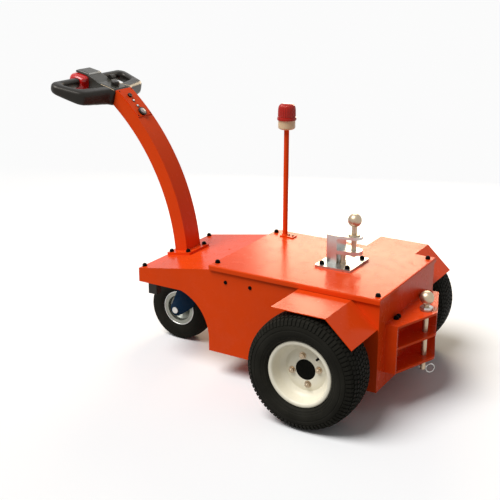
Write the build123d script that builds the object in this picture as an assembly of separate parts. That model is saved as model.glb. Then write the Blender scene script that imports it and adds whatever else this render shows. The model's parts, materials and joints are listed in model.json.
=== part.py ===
from build123d import *
import math
import os

# Walk-behind electric tow tug, in millimetres. +X is forward, towards the tiller, +Y is left, +Z up.
# Everything is drawn from the drive axle, at x = 0, and write() moves it to the middle of its length.

# Drive wheels
tyre_diameter = 408.0
tyre_width = 165.0
track = 785.0
rim_width = 133.0
rim_flange_radius = 118.0
rim_barrel_radius = 104.0
rim_wall = 3.5
rim_recess = 50.0
hub_bore_radius = 37.0
wheel_radius = tyre_diameter / 2
axle_height = wheel_radius
disc_plane = rim_width / 2 - rim_recess

# Box body, as wide as the track leaves it between the tyres
body_length_rear = 186.0
wheel_clearance = 62.0
body_bottom = 96.0
sheet = 4.0
nose_front = 810.0
nose_front_share = 0.425
nose_rear_share = 0.85
arch_rise = 11.0
arch_clearance = 42.4
swing_clearance = 21.4

# Lid tray
lid_front = 484.5
lid_lip = 18.0
lid_sheet = 3.0
lid_side_gap = 5.4
lid_rear_gap = 0.7
lid_bend = 5.0
lid_tuck = 10.0

# Fenders
fender_sheet = 3.0
fender_clearance = 9.0
fender_front = 116.0
fender_bend = -85.0
fender_tail = -181.6
fender_drop = 88.6
fender_overhang = 53.5
fender_flange = 20.0
lid_over_fender = 2.0

# Drive axle
stub_tube_radius = 30.0
stub_flange_radius = 50.0
stub_flange = 8.0
stub_shaft_radius = 15.0
running_fit = 0.05
running_gap = 0.3
drive_block_length = 140.0
drive_block_width = 300.0
drive_block_height = 174.0
battery_rear = 110.0
battery_length = 330.0
battery_clearance = 44.0
battery_height = 220.0

# Castor
castor_radius = 132.0
castor_width = 85.0
castor_offset = 66.0
castor_x = 778.0
castor_rim_flange_radius = 70.0
castor_rim_radius = 52.0
castor_rim_width = 70.0
castor_rim_wall = 3.0
rib_groove = 3.5
rib_depth = 4.0
rib_pitch = 0.17
castor_axle_radius = 8.0
castor_hub_radius = 22.0
fork_sheet = 6.0
fork_gap = 6.0
fork_clearance = 25.0
fork_crown = 12.0
fork_crown_radius = 52.0
fork_eye_radius = 26.0
kingpin_radius = 9.0
race_height = 13.0
top_plate_length = 150.0
top_plate_width = 120.0
top_plate = 8.0
mount_plate = 8.0

# Rear hitch: three plates, with two open bays between them
hitch_inset = 55.0
hitch_cheek_length = 44.5
hitch_plate = 8.0
hitch_reach = 70.0
hitch_nose_radius = 40.0
hitch_bottom = 153.0
hitch_lower_bay = 80.0
hitch_upper_bay = 72.0
hitch_pin_radius = 10.0
hitch_pin_tail = 48.0
hitch_collar_radius = 22.0
hitch_collar = 6.0
hitch_ball_rise = 47.0
ball_radius = 25.0
clip_wire = 4.0
clip_loop = 16.0
clip_above_tip = 8.0
clip_hang = 35.0

# Deck coupling, a little to the right of the middle
coupling_y = -14.0
deck_plate_rear = 11.0
deck_plate_length = 140.0
deck_plate_half_width = 84.0
deck_plate = 8.0
jaw_web_gap = 49.0
jaw_web = 42.0
jaw_half_width = 40.0
jaw_height = 107.0
jaw_upper_flange = 11.0
jaw_lower_height = 52.0
jaw_lower_flange = 14.0
jaw_nose_radius = 32.0
jaw_round = 5.0
deck_pin_x = 36.0
deck_pin_radius = 9.5
deck_pin_tail = 11.0
deck_ball_rise = 56.0

# Tiller arm
flange_x = 750.0
flange_length = 112.0
flange_width = 140.0
flange_plate = 10.0
arm_setback = 28.9
arm_drop = 4.0
arm_radius = 885.4
arm_depth = 55.0
arm_half_width = 47.0
arm_wall = 4.0
arm_end_angle = 50.9
arm_end_lean = 15.7
panel_sheet = 3.0
panel_low_angle = 41.8
panel_high_angle = 50.7
panel_half_width = 43.0
gauge_angle = 43.0
gauge_radius = 18.0
gauge_height = 8.0
key_angle = 48.3
key_radius = 9.0
key_height = 7.0
panel_seat_gap = 0.2
controls_y = 5.0

# Tiller head, drawn flat from the arm's top and then tilted
head_ahead = 4.0
head_below = 15.0
head_tilt = 12.0
grip_front = 191.0
grip_half_width = 231.0
grip_bar = 30.0
grip_side_bar = 36.0
grip_top = 15.0
grip_round = 10.0
neck_front = 58.0
neck_half_width = 52.0
neck_depth = 50.0
housing_half_width = 40.0
housing_lean = 19.0
cap_front = 214.0
cap_rear = 150.0
cap_top = 39.0
cap_low = 27.0
dash_foot = 92.0
cover_sheet = 3.0
chin_depth = 32.0
button_front = 232.0
button_half_width = 36.0
button_bottom = -45.0
button_round = 8.0
lever_radius = 11.0
lever_length = 26.0
knob_radius = 17.0
knob_height = 17.0

# Beacon
beacon_x = 419.0
beacon_inset = 53.0
pole_radius = 10.0
pole_length = 424.0
foot_length = 62.0
foot_width = 34.0
foot_thick = 5.0
beacon_base_radius = 33.0
beacon_base_height = 36.0
dome_radius = 36.0
dome_height = 63.0

# Horn under the nose
horn_size = (40.0, 34.0, 44.0)
horn_x = 755.0
horn_inset = 26.0

# Heights that the wheels set
fender_top = tyre_diameter + fender_clearance
fender_tail_height = fender_top - fender_drop
deck_height = fender_top + lid_over_fender + lid_lip
lid_underside = deck_height - lid_sheet
fork_crown_top = 2 * castor_radius + fork_clearance
nose_bottom = fork_crown_top + race_height + top_plate
nose_front_height = nose_bottom + nose_front_share * (deck_height - nose_bottom)
nose_rear_height = nose_bottom + nose_rear_share * (deck_height - nose_bottom)

# Places that follow the track and the castor
body_half_width = track / 2 - tyre_width / 2 - wheel_clearance
inner_half_width = body_half_width - sheet
lid_half_width = body_half_width + lid_side_gap + lid_sheet
lid_rear = -(body_length_rear + lid_rear_gap + lid_sheet)
fender_outer = track / 2 + fender_overhang
battery_width = 2 * (inner_half_width - battery_clearance)
swivel_x = castor_x - castor_offset
arch_radius = castor_radius + arch_clearance
arch_wall = swivel_x - castor_offset - castor_radius - swing_clearance
arch_centre_x = arch_wall + arch_radius
arch_centre_z = castor_radius + arch_rise
nose_slope = (nose_front_height - nose_rear_height) / (nose_front - lid_front)
nose_angle = math.degrees(math.atan(nose_slope))
cover_drop = sheet / math.cos(math.radians(nose_angle))
beacon_y = -(body_half_width - beacon_inset)
pole_top = deck_height + foot_thick + pole_length
horn_y = body_half_width - horn_inset

# Hitch and coupling
hitch_half_width = body_half_width - hitch_inset
hitch_pin_x = -(body_length_rear + hitch_reach)
hitch_middle = hitch_bottom + hitch_plate + hitch_lower_bay
hitch_top = hitch_middle + hitch_plate + hitch_upper_bay
hitch_pin_bottom = hitch_bottom - hitch_pin_tail
coupling_base = deck_height + deck_plate
jaw_top = coupling_base + jaw_height
jaw_lower_top = coupling_base + jaw_lower_height
jaw_web_rear = deck_pin_x + jaw_web_gap

# Arm and head
arm_centre_x = flange_x - arm_setback + arm_radius
arm_centre_z = nose_bottom - arm_drop
arm_end_x = arm_centre_x - arm_radius * math.cos(math.radians(arm_end_angle))
arm_end_z = arm_centre_z + arm_radius * math.sin(math.radians(arm_end_angle))
head_x = arm_end_x + head_ahead
head_z = arm_end_z - head_below


def block(x0, x1, y0, y1, z0, z1):
    """A box between two corners."""
    centre = Pos((x0 + x1) / 2, (y0 + y1) / 2, (z0 + z1) / 2)
    return centre * Box(abs(x1 - x0), abs(y1 - y0), abs(z1 - z0))


def side_face(points, y):
    """A flat face in the XZ plane at y, from corner points (x, z)."""
    return make_face(Polyline([(x, y, z) for x, z in points], close=True).edges())


def along_y(points, y0, y1):
    """An outline in the XZ plane, as thick as the distance from y0 to y1."""
    return extrude(side_face(points, y0), amount=y1 - y0, dir=(0, 1, 0))


def rod_y(radius, x, z, y0, y1):
    """A round bar along Y."""
    return Pos(x, (y0 + y1) / 2, z) * Rot(90, 0, 0) * Cylinder(radius, abs(y1 - y0))


def rod_z(radius, x, y, z0, z1):
    """A round bar along Z."""
    return Pos(x, y, (z0 + z1) / 2) * Cylinder(radius, z1 - z0)


def turned(profile, x, y, z):
    """Revolve corner points (offset along Y, radius) about the line through x, z along Y."""
    face = make_face(Polyline([(0, w, r) for w, r in profile], close=True).edges())
    return Pos(x, y, z) * revolve(face, Axis.Y)


def mirrored(shape):
    """The same piece on the other side of the tug."""
    return mirror(shape, Plane.XZ)


def cover_height(x):
    """Outer height of the sloping nose cover at x."""
    return nose_rear_height + nose_slope * (x - lid_front)


def side_panel():
    """Flat side plate with the castor arch cut out of its front lower corner."""
    cover_rear = lid_front - lid_tuck
    meet = arch_centre_x - math.sqrt(arch_radius**2 - (nose_bottom - arch_centre_z) ** 2)
    corner = 0.5 * (math.pi + math.pi - math.asin((nose_bottom - arch_centre_z) / arch_radius))
    mid = (arch_centre_x + arch_radius * math.cos(corner), arch_centre_z + arch_radius * math.sin(corner))
    y = inner_half_width

    def at(point):
        return (point[0], y, point[1])

    low_rear = (-body_length_rear, body_bottom)
    low_front = (arch_wall, body_bottom)
    arch_low = (arch_wall, arch_centre_z)
    arch_high = (meet, nose_bottom)
    outline = [
        Line(at(low_rear), at(low_front)),
        Line(at(low_front), at(arch_low)),
        ThreePointArc(at(arch_low), at(mid), at(arch_high)),
        Line(at(arch_high), at((nose_front, nose_bottom))),
        Line(at((nose_front, nose_bottom)), at((nose_front, nose_front_height - cover_drop))),
        Line(
            at((nose_front, nose_front_height - cover_drop)),
            at((cover_rear, cover_height(cover_rear) - cover_drop)),
        ),
        Line(at((cover_rear, cover_height(cover_rear) - cover_drop)), at((cover_rear, lid_underside))),
        Line(at((cover_rear, lid_underside)), at((-body_length_rear, lid_underside))),
        Line(at((-body_length_rear, lid_underside)), at(low_rear)),
    ]
    plate = extrude(make_face(outline), amount=sheet, dir=(0, 1, 0))
    hole = rod_y(stub_tube_radius + 0.5, 0, axle_height, y - 1, y + sheet + 1)
    return plate - hole


def rear_panel():
    """Flat plate between the side plates at the back."""
    rear = -body_length_rear
    return block(rear, rear + sheet, -inner_half_width, inner_half_width, body_bottom, lid_underside)


def floor_pan():
    """Bottom plate from the rear plate to the castor bulkhead."""
    x0 = -body_length_rear + sheet
    return block(x0, arch_wall - sheet, -inner_half_width, inner_half_width, body_bottom, body_bottom + sheet)


def castor_bulkhead():
    """Upright wall between the box and the castor well."""
    return block(arch_wall - sheet, arch_wall, -inner_half_width, inner_half_width, body_bottom, nose_bottom)


def castor_mount_plate():
    """Thick roof of the castor well, which carries the castor and the tiller's load."""
    x0, x1 = arch_wall - sheet, nose_front - sheet
    return block(x0, x1, -inner_half_width, inner_half_width, nose_bottom, nose_bottom + mount_plate)


def nose_front_plate():
    """Upright plate across the front of the nose."""
    x0 = nose_front - sheet
    top = nose_front_height - cover_drop
    return block(x0, nose_front, -inner_half_width, inner_half_width, nose_bottom, top)


def nose_cover():
    """Sloping plate over the nose, tucked under the lid at its rear end."""
    x0, x1 = lid_front - lid_tuck, nose_front
    outline = [
        (x0, cover_height(x0) - cover_drop),
        (x1, cover_height(x1) - cover_drop),
        (x1, cover_height(x1)),
        (x0, cover_height(x0)),
    ]
    return along_y(outline, -body_half_width, body_half_width)


def lid_rail():
    """Cross rail that carries the front edge of the lid and closes the step to the nose cover."""
    x1 = lid_front - lid_tuck
    low = cover_height(x1) - cover_drop - lid_lip
    return block(x1 - sheet, x1, -inner_half_width, inner_half_width, low, lid_underside)


def deck_lid():
    """Tray lid with lips folded down at both sides and at the rear."""
    tray = block(lid_rear, lid_front, -lid_half_width, lid_half_width, deck_height - lid_lip, deck_height)
    folds = tray.edges().filter_by(Axis.X).group_by(Axis.Z)[-1]
    folds += tray.edges().filter_by(Axis.Y).group_by(Axis.Z)[-1].sort_by(Axis.X)[:1]
    tray = fillet(folds, lid_bend)
    inside = lid_half_width - lid_sheet
    hollow = block(
        lid_rear + lid_sheet, lid_front + 1, -inside, inside, deck_height - lid_lip - 1, lid_underside
    )
    return tray - hollow


def fender():
    """Bent sheet over one drive wheel: flat top, sloping tail and a flange on the side plate."""
    run = math.hypot(fender_tail - fender_bend, fender_tail_height - fender_top)
    nx = (fender_top - fender_tail_height) / run
    nz = -(fender_bend - fender_tail) / run
    half_turn = math.tan(0.5 * math.atan2(fender_top - fender_tail_height, fender_bend - fender_tail))
    outline = [
        (fender_front, fender_top),
        (fender_bend, fender_top),
        (fender_tail, fender_tail_height),
        (fender_tail + nx * fender_sheet, fender_tail_height + nz * fender_sheet),
        (fender_bend + fender_sheet * half_turn, fender_top - fender_sheet),
        (fender_front, fender_top - fender_sheet),
    ]
    skin = along_y(outline, body_half_width, fender_outer)
    low = fender_top - fender_sheet - fender_flange
    flange = block(
        fender_bend + fender_flange,
        fender_front,
        body_half_width,
        body_half_width + fender_sheet,
        low,
        fender_top - fender_sheet,
    )
    return skin + flange


def tyre(radius, half_width, seat_radius, seat_half_width, flange_radius, sidewall_radius):
    """Closed tyre section turned about Y, its sidewalls bulging past the rim's flanges."""
    crown_drop = radius * 0.02
    shoulder_w = half_width * 0.9
    shoulder_r = radius - crown_drop * 2.2
    half = [
        Line((0, 0, seat_radius), (0, seat_half_width, seat_radius)),
        Line((0, seat_half_width, seat_radius), (0, seat_half_width, flange_radius)),
        TangentArc(
            (0, half_width, sidewall_radius), (0, seat_half_width, flange_radius), tangent=(0, 0, -1)
        ),
        TangentArc((0, half_width, sidewall_radius), (0, shoulder_w, shoulder_r), tangent=(0, 0, 1)),
    ]
    crown = ThreePointArc((0, shoulder_w, shoulder_r), (0, 0, radius), (0, -shoulder_w, shoulder_r))
    section = half + [mirror(edge, Plane.XZ) for edge in half] + [crown]
    return revolve(make_face(section), Axis.Y)


def drive_tyre():
    """Wide low-pressure tyre of one drive wheel."""
    solid = tyre(
        wheel_radius,
        tyre_width / 2,
        rim_barrel_radius,
        rim_width / 2 - rim_wall * 2,
        rim_flange_radius,
        rim_flange_radius + 34,
    )
    return Pos(0, track / 2, axle_height) * solid


def drive_rim():
    """Pressed steel rim with a deep outer dish."""
    out = rim_width / 2
    lip = out - rim_wall * 2
    inner = rim_barrel_radius - rim_wall
    cone = inner * 0.16
    face = disc_plane
    back = face - rim_wall
    shift = rim_wall * 1.3
    profile = [
        (-out, rim_flange_radius),
        (-lip, rim_flange_radius),
        (-lip, rim_barrel_radius),
        (lip, rim_barrel_radius),
        (lip, rim_flange_radius),
        (out, rim_flange_radius),
        (out, inner + rim_wall),
        (out - rim_wall, inner),
        (face + cone, inner),
        (face, inner - cone),
        (face, hub_bore_radius),
        (back, hub_bore_radius),
        (back, inner - cone + 1),
        (face + cone - shift, inner),
        (-out + rim_wall, inner),
        (-out, inner + rim_wall),
    ]
    return turned(profile, 0, track / 2, axle_height)


def drive_hub():
    """Hub bolted behind the rim disc, bored to run on the stub axle, with a capped nose."""
    back = disc_plane - rim_wall
    flange_radius = hub_bore_radius + 32
    tail = back - 78
    nose = disc_plane + 4
    shaft_end = disc_plane - 2
    bore = stub_shaft_radius + running_fit
    profile = [
        (tail, bore),
        (tail, hub_bore_radius - 4),
        (back - 10, hub_bore_radius + 2),
        (back - 10, flange_radius),
        (back, flange_radius),
        (back, hub_bore_radius - running_gap),
        (nose - 2, hub_bore_radius - running_gap),
        (nose, hub_bore_radius - 4),
        (nose, 0),
        (shaft_end + 1, 0),
        (shaft_end + 1, bore),
    ]
    return turned(profile, 0, track / 2, axle_height)


def axle_stub():
    """Stub axle: a tube through the side plate, its bolting flange and the shaft for the hub."""
    shaft_end = track / 2 + disc_plane - 2
    tube_end = track / 2 + disc_plane - rim_wall - 78 - running_gap
    inner_end = drive_block_width / 2
    tube = rod_y(stub_tube_radius, 0, axle_height, inner_end, tube_end)
    plate = rod_y(stub_flange_radius, 0, axle_height, body_half_width, body_half_width + stub_flange)
    shaft = rod_y(stub_shaft_radius, 0, axle_height, tube_end, shaft_end)
    return tube + plate + shaft


def drive_block():
    """Motors and gearing as one plain mass on the floor plate."""
    half = drive_block_length / 2
    low = body_bottom + sheet
    side = drive_block_width / 2
    return block(-half, half, -side, side, low, low + drive_block_height)


def battery_block():
    """Batteries as one plain mass on the floor plate."""
    low = body_bottom + sheet
    side = battery_width / 2
    return block(battery_rear, battery_rear + battery_length, -side, side, low, low + battery_height)


def castor_top_plate():
    """Castor's fixed plate with its race and kingpin, bolted under the mount plate."""
    half_x, half_y = top_plate_length / 2, top_plate_width / 2
    low = nose_bottom - top_plate
    plate = block(swivel_x - half_x, swivel_x + half_x, -half_y, half_y, low, nose_bottom)
    plate = fillet(plate.edges().filter_by(Axis.Z), 10)
    race = Pos(swivel_x, 0, (low + fork_crown_top + running_gap) / 2)
    race = race * Cylinder(fork_crown_radius - 8, low - fork_crown_top - running_gap)
    under = fork_crown_top - fork_crown
    pin = rod_z(kingpin_radius, swivel_x, 0, under - 12, low)
    head = rod_z(kingpin_radius + 6, swivel_x, 0, under - 12, under - running_gap)
    return plate + race + pin + head


def castor_fork():
    """Pressed fork: a round crown under the race and two legs that sweep down to the axle."""
    leg_inner = castor_width / 2 + fork_gap
    leg_outer = leg_inner + fork_sheet
    under = fork_crown_top - fork_crown
    crown = rod_z(fork_crown_radius, swivel_x, 0, under, fork_crown_top)
    bridge = block(swivel_x - 34, swivel_x + 34, -leg_outer, leg_outer, under, fork_crown_top)
    plate = make_hull(
        (
            Pos(castor_x, castor_radius) * Circle(fork_eye_radius)
            + Pos(swivel_x - 18, fork_crown_top - 16) * Circle(16)
            + Pos(swivel_x + 24, fork_crown_top - 10) * Circle(10)
        ).edges()
    )
    leg = extrude(Plane.XZ.offset(-leg_outer) * plate, amount=fork_sheet)
    legs = leg + mirrored(leg)
    bored = crown + bridge + legs
    bored -= rod_z(kingpin_radius + running_fit, swivel_x, 0, under - 1, fork_crown_top + 1)
    bored -= rod_y(castor_axle_radius, castor_x, castor_radius, -leg_outer - 1, leg_outer + 1)
    return bored


def castor_axle():
    """Through bolt of the castor wheel with a round cap at each end."""
    leg_outer = castor_width / 2 + fork_gap + fork_sheet
    shaft = rod_y(castor_axle_radius, castor_x, castor_radius, -leg_outer, leg_outer)
    cap = rod_y(castor_axle_radius + 5, castor_x, castor_radius, leg_outer, leg_outer + 9)
    return shaft + cap + mirrored(cap)


def castor_rim():
    """Two-piece pressed rim of the castor wheel with its hub tube."""
    out = castor_rim_width / 2
    hub = castor_width / 2 + fork_gap - running_gap
    wall = castor_rim_wall
    bore = castor_axle_radius + running_fit
    flange = castor_rim_flange_radius
    seat = castor_rim_radius
    profile = [
        (-hub, bore),
        (-hub, castor_hub_radius - 6),
        (-out * 0.5, castor_hub_radius),
        (-wall, castor_hub_radius + 4),
        (-out * 0.6, seat - wall),
        (-out, seat + 1),
        (-out, flange),
        (-out + wall, flange),
        (-out + wall, seat),
        (out - wall, seat),
        (out - wall, flange),
        (out, flange),
        (out, seat + 1),
        (out * 0.6, seat - wall),
        (wall, castor_hub_radius + 4),
        (out * 0.5, castor_hub_radius),
        (hub, castor_hub_radius - 6),
        (hub, bore),
    ]
    return turned(profile, castor_x, 0, castor_radius)


def castor_tyre():
    """Narrow ribbed tyre of the castor wheel."""
    solid = tyre(
        castor_radius,
        castor_width / 2,
        castor_rim_radius,
        castor_rim_width / 2 - castor_rim_wall,
        castor_rim_flange_radius,
        castor_rim_flange_radius + 26,
    )
    ring = Cylinder(castor_radius + 5, rib_groove) - Cylinder(castor_radius - rib_depth, rib_groove)
    for k in (-1, 0, 1):
        solid -= Pos(0, k * castor_width * rib_pitch, 0) * Rot(90, 0, 0) * ring
    return Pos(castor_x, 0, castor_radius) * solid


def hitch_outline(half_width):
    """Plan of a hitch plate: square against the body, drawn in to a round nose about the pin."""
    rear = -body_length_rear
    corner = rear - hitch_cheek_length
    reach = math.hypot(corner - hitch_pin_x, half_width)
    lean = math.atan2(half_width, corner - hitch_pin_x)
    touch = lean + math.acos(hitch_nose_radius / reach)
    tx = hitch_pin_x + hitch_nose_radius * math.cos(touch)
    ty = hitch_nose_radius * math.sin(touch)
    apex = (hitch_pin_x - hitch_nose_radius, 0)
    edges = [
        Line((rear, half_width), (corner, half_width)),
        Line((corner, half_width), (tx, ty)),
        ThreePointArc((tx, ty), apex, (tx, -ty)),
        Line((tx, -ty), (corner, -half_width)),
        Line((corner, -half_width), (rear, -half_width)),
        Line((rear, -half_width), (rear, half_width)),
    ]
    return make_face(edges)


def hitch_shelf(level, half_width):
    """One of the three hitch plates, bored for the pin."""
    plate = Pos(0, 0, level) * extrude(hitch_outline(half_width), amount=hitch_plate)
    return plate - rod_z(hitch_pin_radius + 0.5, hitch_pin_x, 0, level - 1, level + hitch_plate + 1)


def hitch_cheek():
    """Upright end plate of the hitch, welded between the shelves."""
    rear = -body_length_rear
    y1 = hitch_half_width
    return block(rear - hitch_cheek_length, rear, y1 - hitch_plate, y1, hitch_bottom, hitch_top)


def ball_pin(x, y, bottom, seat, collar_radius, collar, radius, ball_height):
    """Hitch pin: shaft, collar that rests on its plate and a tow ball with a flat top."""
    shaft = rod_z(radius, x, y, bottom, ball_height)
    ring = rod_z(collar_radius, x, y, seat, seat + collar)
    flat = Pos(0, 0, ball_radius * 1.94) * Box(ball_radius * 2, ball_radius * 2, ball_radius * 2)
    ball = Pos(x, y, ball_height) * (Sphere(ball_radius) - flat)
    return shaft + ring + ball


def hitch_ball_pin():
    """Long pin of the rear hitch, cross-drilled near its tip for the clip."""
    seat = hitch_top + hitch_plate
    ball_height = seat + hitch_ball_rise
    pin = ball_pin(
        hitch_pin_x, 0, hitch_pin_bottom, seat, hitch_collar_radius, hitch_collar, hitch_pin_radius, ball_height
    )
    drill = Pos(hitch_pin_x, 0, hitch_pin_bottom + clip_above_tip) * Rot(0, 0, 45) * Rot(0, 90, 0)
    return pin - drill * Cylinder(clip_wire / 2 + 0.3, hitch_pin_radius * 3)


def hitch_clip():
    """Wire clip through the tip of the hitch pin, its ring hanging beside the pin."""
    reach = hitch_pin_radius + 1.5 * clip_wire
    leg = Rot(0, 90, 0) * Cylinder(clip_wire / 2, 2 * reach)
    ring = Pos(-clip_loop, 0, 0) * Rot(90, 0, 0) * Torus(clip_loop, clip_wire / 2)
    loop = Pos(-reach, 0, 0) * Rot(0, -clip_hang, 0) * ring
    return Pos(hitch_pin_x, 0, hitch_pin_bottom + clip_above_tip) * Rot(0, 0, 45) * (leg + loop)


def deck_base_plate():
    """Zinc plate bolted to the lid under the deck coupling."""
    plate = Box(deck_plate_length, deck_plate_half_width * 2, deck_plate)
    plate = fillet(plate.edges().filter_by(Axis.Z), 4)
    return Pos(deck_plate_rear + deck_plate_length / 2, coupling_y, deck_height + deck_plate / 2) * plate


def jaw_plan():
    """Plan of a jaw flange: as wide as the web, drawn in to a round nose about the pin."""
    square = Pos(jaw_web_rear, 0) * Rectangle(0.2, jaw_half_width * 2)
    nose = Pos(deck_pin_x, 0) * Circle(jaw_nose_radius)
    return make_hull((square + nose).edges())


def deck_jaw():
    """Tow jaw: an upright web with an upper and a lower flange for the pin."""
    front = jaw_web_rear + jaw_web
    web = block(jaw_web_rear, front, -jaw_half_width, jaw_half_width, coupling_base, jaw_top)
    web = fillet(web.edges().filter_by(Axis.Z).group_by(Axis.X)[-1], jaw_round)
    upper = Pos(0, 0, jaw_top - jaw_upper_flange) * extrude(jaw_plan(), amount=jaw_upper_flange)
    lower = Pos(0, 0, jaw_lower_top - jaw_lower_flange) * extrude(jaw_plan(), amount=jaw_lower_flange)
    bored = web + upper + lower
    bored -= rod_z(deck_pin_radius + 0.5, deck_pin_x, 0, coupling_base, jaw_top + 1)
    return Pos(0, coupling_y, 0) * bored


def deck_ball_pin():
    """Pin of the deck coupling with its collar and tow ball."""
    bottom = jaw_lower_top - jaw_lower_flange - deck_pin_tail
    collar_radius = jaw_nose_radius - 10
    ball_height = jaw_top + deck_ball_rise
    return ball_pin(deck_pin_x, coupling_y, bottom, jaw_top, collar_radius, 5, deck_pin_radius, ball_height)


def on_nose(x, shape):
    """Place a flat piece, drawn about its own middle, on the sloping nose cover at x."""
    return Pos(x, 0, cover_height(x)) * Rot(0, -nose_angle, 0) * shape


def tiller_flange():
    """Square plate under the tiller arm, bolted to the nose cover."""
    plate = Pos(0, 0, flange_plate / 2) * Box(flange_length, flange_width, flange_plate)
    plate = fillet(plate.edges().filter_by(Axis.Z), 6)
    return on_nose(flange_x, plate)


def arm_band(outer, depth, low_angle, high_angle, half_width):
    """A curved box that follows the arm: rear face of radius outer, depth towards the front."""
    inner = outer - depth
    low, high = math.radians(low_angle), math.radians(high_angle)
    mid = (low + high) / 2

    def at(radius, angle):
        return (arm_centre_x - radius * math.cos(angle), -half_width, arm_centre_z + radius * math.sin(angle))

    edges = [
        ThreePointArc(at(outer, low), at(outer, mid), at(outer, high)),
        Line(at(outer, high), at(inner, high)),
        ThreePointArc(at(inner, high), at(inner, mid), at(inner, low)),
        Line(at(inner, low), at(outer, low)),
    ]
    return extrude(make_face(edges), amount=half_width * 2, dir=(0, 1, 0))


def beyond_arm_end():
    """The space in front of the arm's upper end, where the head begins."""
    reach = 2 * grip_front
    space = Pos(reach / 2, 0, 0) * Box(reach, 3 * grip_half_width, reach)
    return Pos(arm_end_x, 0, arm_end_z) * Rot(0, -arm_end_lean, 0) * space


def tiller_arm():
    """Curved hollow box arm from the flange to the head."""
    past_end = arm_end_angle + 5
    shell = arm_band(arm_radius, arm_depth, 2, past_end, arm_half_width)
    hollow = arm_band(
        arm_radius - arm_wall, arm_depth - 2 * arm_wall, 1, past_end + 1, arm_half_width - arm_wall
    )
    size = 4 * flange_width
    foot = on_nose(flange_x, Pos(0, 0, flange_plate - size / 2) * Box(size, size, size))
    return shell - hollow - foot - beyond_arm_end()


def control_panel():
    """Thin cover plate on the upper rear face of the arm."""
    return arm_band(
        arm_radius + panel_sheet, panel_sheet, panel_low_angle, panel_high_angle, panel_half_width
    )


def on_panel(angle, shape):
    """Place a piece, drawn about its own foot with +Z outwards, on the control panel."""
    turn = math.radians(angle)
    seat = arm_radius + panel_sheet + panel_seat_gap
    x = arm_centre_x - seat * math.cos(turn)
    z = arm_centre_z + seat * math.sin(turn)
    return Pos(x, controls_y, z) * Rot(0, angle - 90, 0) * shape


def charge_gauge():
    """Round charge gauge with a raised ring."""
    body = Pos(0, 0, gauge_height / 2) * Cylinder(gauge_radius, gauge_height)
    body = chamfer(body.edges().group_by(Axis.Z)[-1], 1.5)
    face = Pos(0, 0, gauge_height) * Cylinder(gauge_radius - 4, 3)
    return on_panel(gauge_angle, body - face)


def key_switch():
    """Round key switch with a slot across its face."""
    body = Pos(0, 0, key_height / 2) * Cylinder(key_radius, key_height)
    slot = Pos(0, 0, key_height) * Box(key_radius, 2, 4)
    return on_panel(key_angle, body - slot)


def on_head(shape):
    """Tilt and place a piece drawn flat about the arm's top."""
    return Pos(head_x, 0, head_z) * Rot(0, -head_tilt, 0) * shape


def rounded_outline(corners):
    """A flat face from corners (u, v, fillet radius)."""
    points = [(u, v) for u, v, radius in corners]
    return make_face(FilletPolyline(*points, radius=[radius for u, v, radius in corners], close=True).edges())


def both_sides(corners):
    """Close an outline across the middle from its left half's corners (u, v, fillet radius)."""
    return rounded_outline(corners + [(u, -v, radius) for u, v, radius in reversed(corners)])


def grip_loop():
    """Closed two-handed grip and its neck: flat above, its underside curving down to the arm."""
    half = grip_half_width
    front = grip_front
    inner = front - grip_bar
    outline = both_sides(
        [
            (front, half - 29, 28),
            (front - 23, half, 34),
            (neck_front - 14, half - 41, 46),
            (neck_front - 46, neck_half_width + 10, 30),
            (-10, arm_half_width, 12),
        ]
    )
    opening = both_sides(
        [
            (inner, half - grip_side_bar - 6, 18),
            (neck_front + 26, half - grip_side_bar - 32, 30),
            (neck_front, neck_half_width, 8),
        ]
    )
    deep = neck_depth * 2
    plan = Pos(0, 0, -deep) * extrude(outline - opening, amount=grip_top + deep)
    tip = (front + 9, 0, grip_top - grip_bar)
    belly = (front / 2, 0, -0.72 * neck_depth)
    heel = (-12, 0, -neck_depth)
    side = [
        ThreePointArc(tip, belly, heel),
        Line(heel, (-12, 0, grip_top)),
        Line((-12, 0, grip_top), (front + 9, 0, grip_top)),
        Line((front + 9, 0, grip_top), tip),
    ]
    slab = plan & extrude(make_face(side), amount=half + 1, dir=(0, 1, 0), both=True)
    broad = [slab.faces().sort_by(Axis.Z)[-1], slab.faces().sort_by(Axis.Z)[0]]
    slab = fillet([edge for face in broad for edge in face.outer_wire().edges()], grip_round)
    broad = [face for face in slab.faces() if face.inner_wires()]
    wires = [wire for face in broad for wire in face.inner_wires()]
    slab = fillet([edge for wire in wires for edge in wire.edges()], grip_round)
    return on_head(slab) & beyond_arm_end()


def head_housing():
    """Control housing in the loop's opening: neck cover, sloping dash and a cap over the button."""
    front_foot = cap_rear + 7 - housing_lean
    profile = [
        (6, grip_top),
        (neck_front, grip_top),
        (neck_front, -chin_depth),
        (front_foot, -chin_depth),
        (cap_rear + 7, cap_low),
        (cap_front, cap_low),
        (cap_front, cap_low + 6),
        (cap_front - 10, cap_top),
        (cap_rear, cap_top),
        (cap_rear - 4, cap_top - 6),
        (dash_foot, grip_top + cover_sheet),
        (6, grip_top + cover_sheet),
    ]
    body = along_y(profile, -housing_half_width, housing_half_width)
    ridge = [edge for edge in body.edges().filter_by(Axis.X) if edge.center().Z > cap_top - 1]
    return on_head(fillet(ridge, 7))


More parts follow.
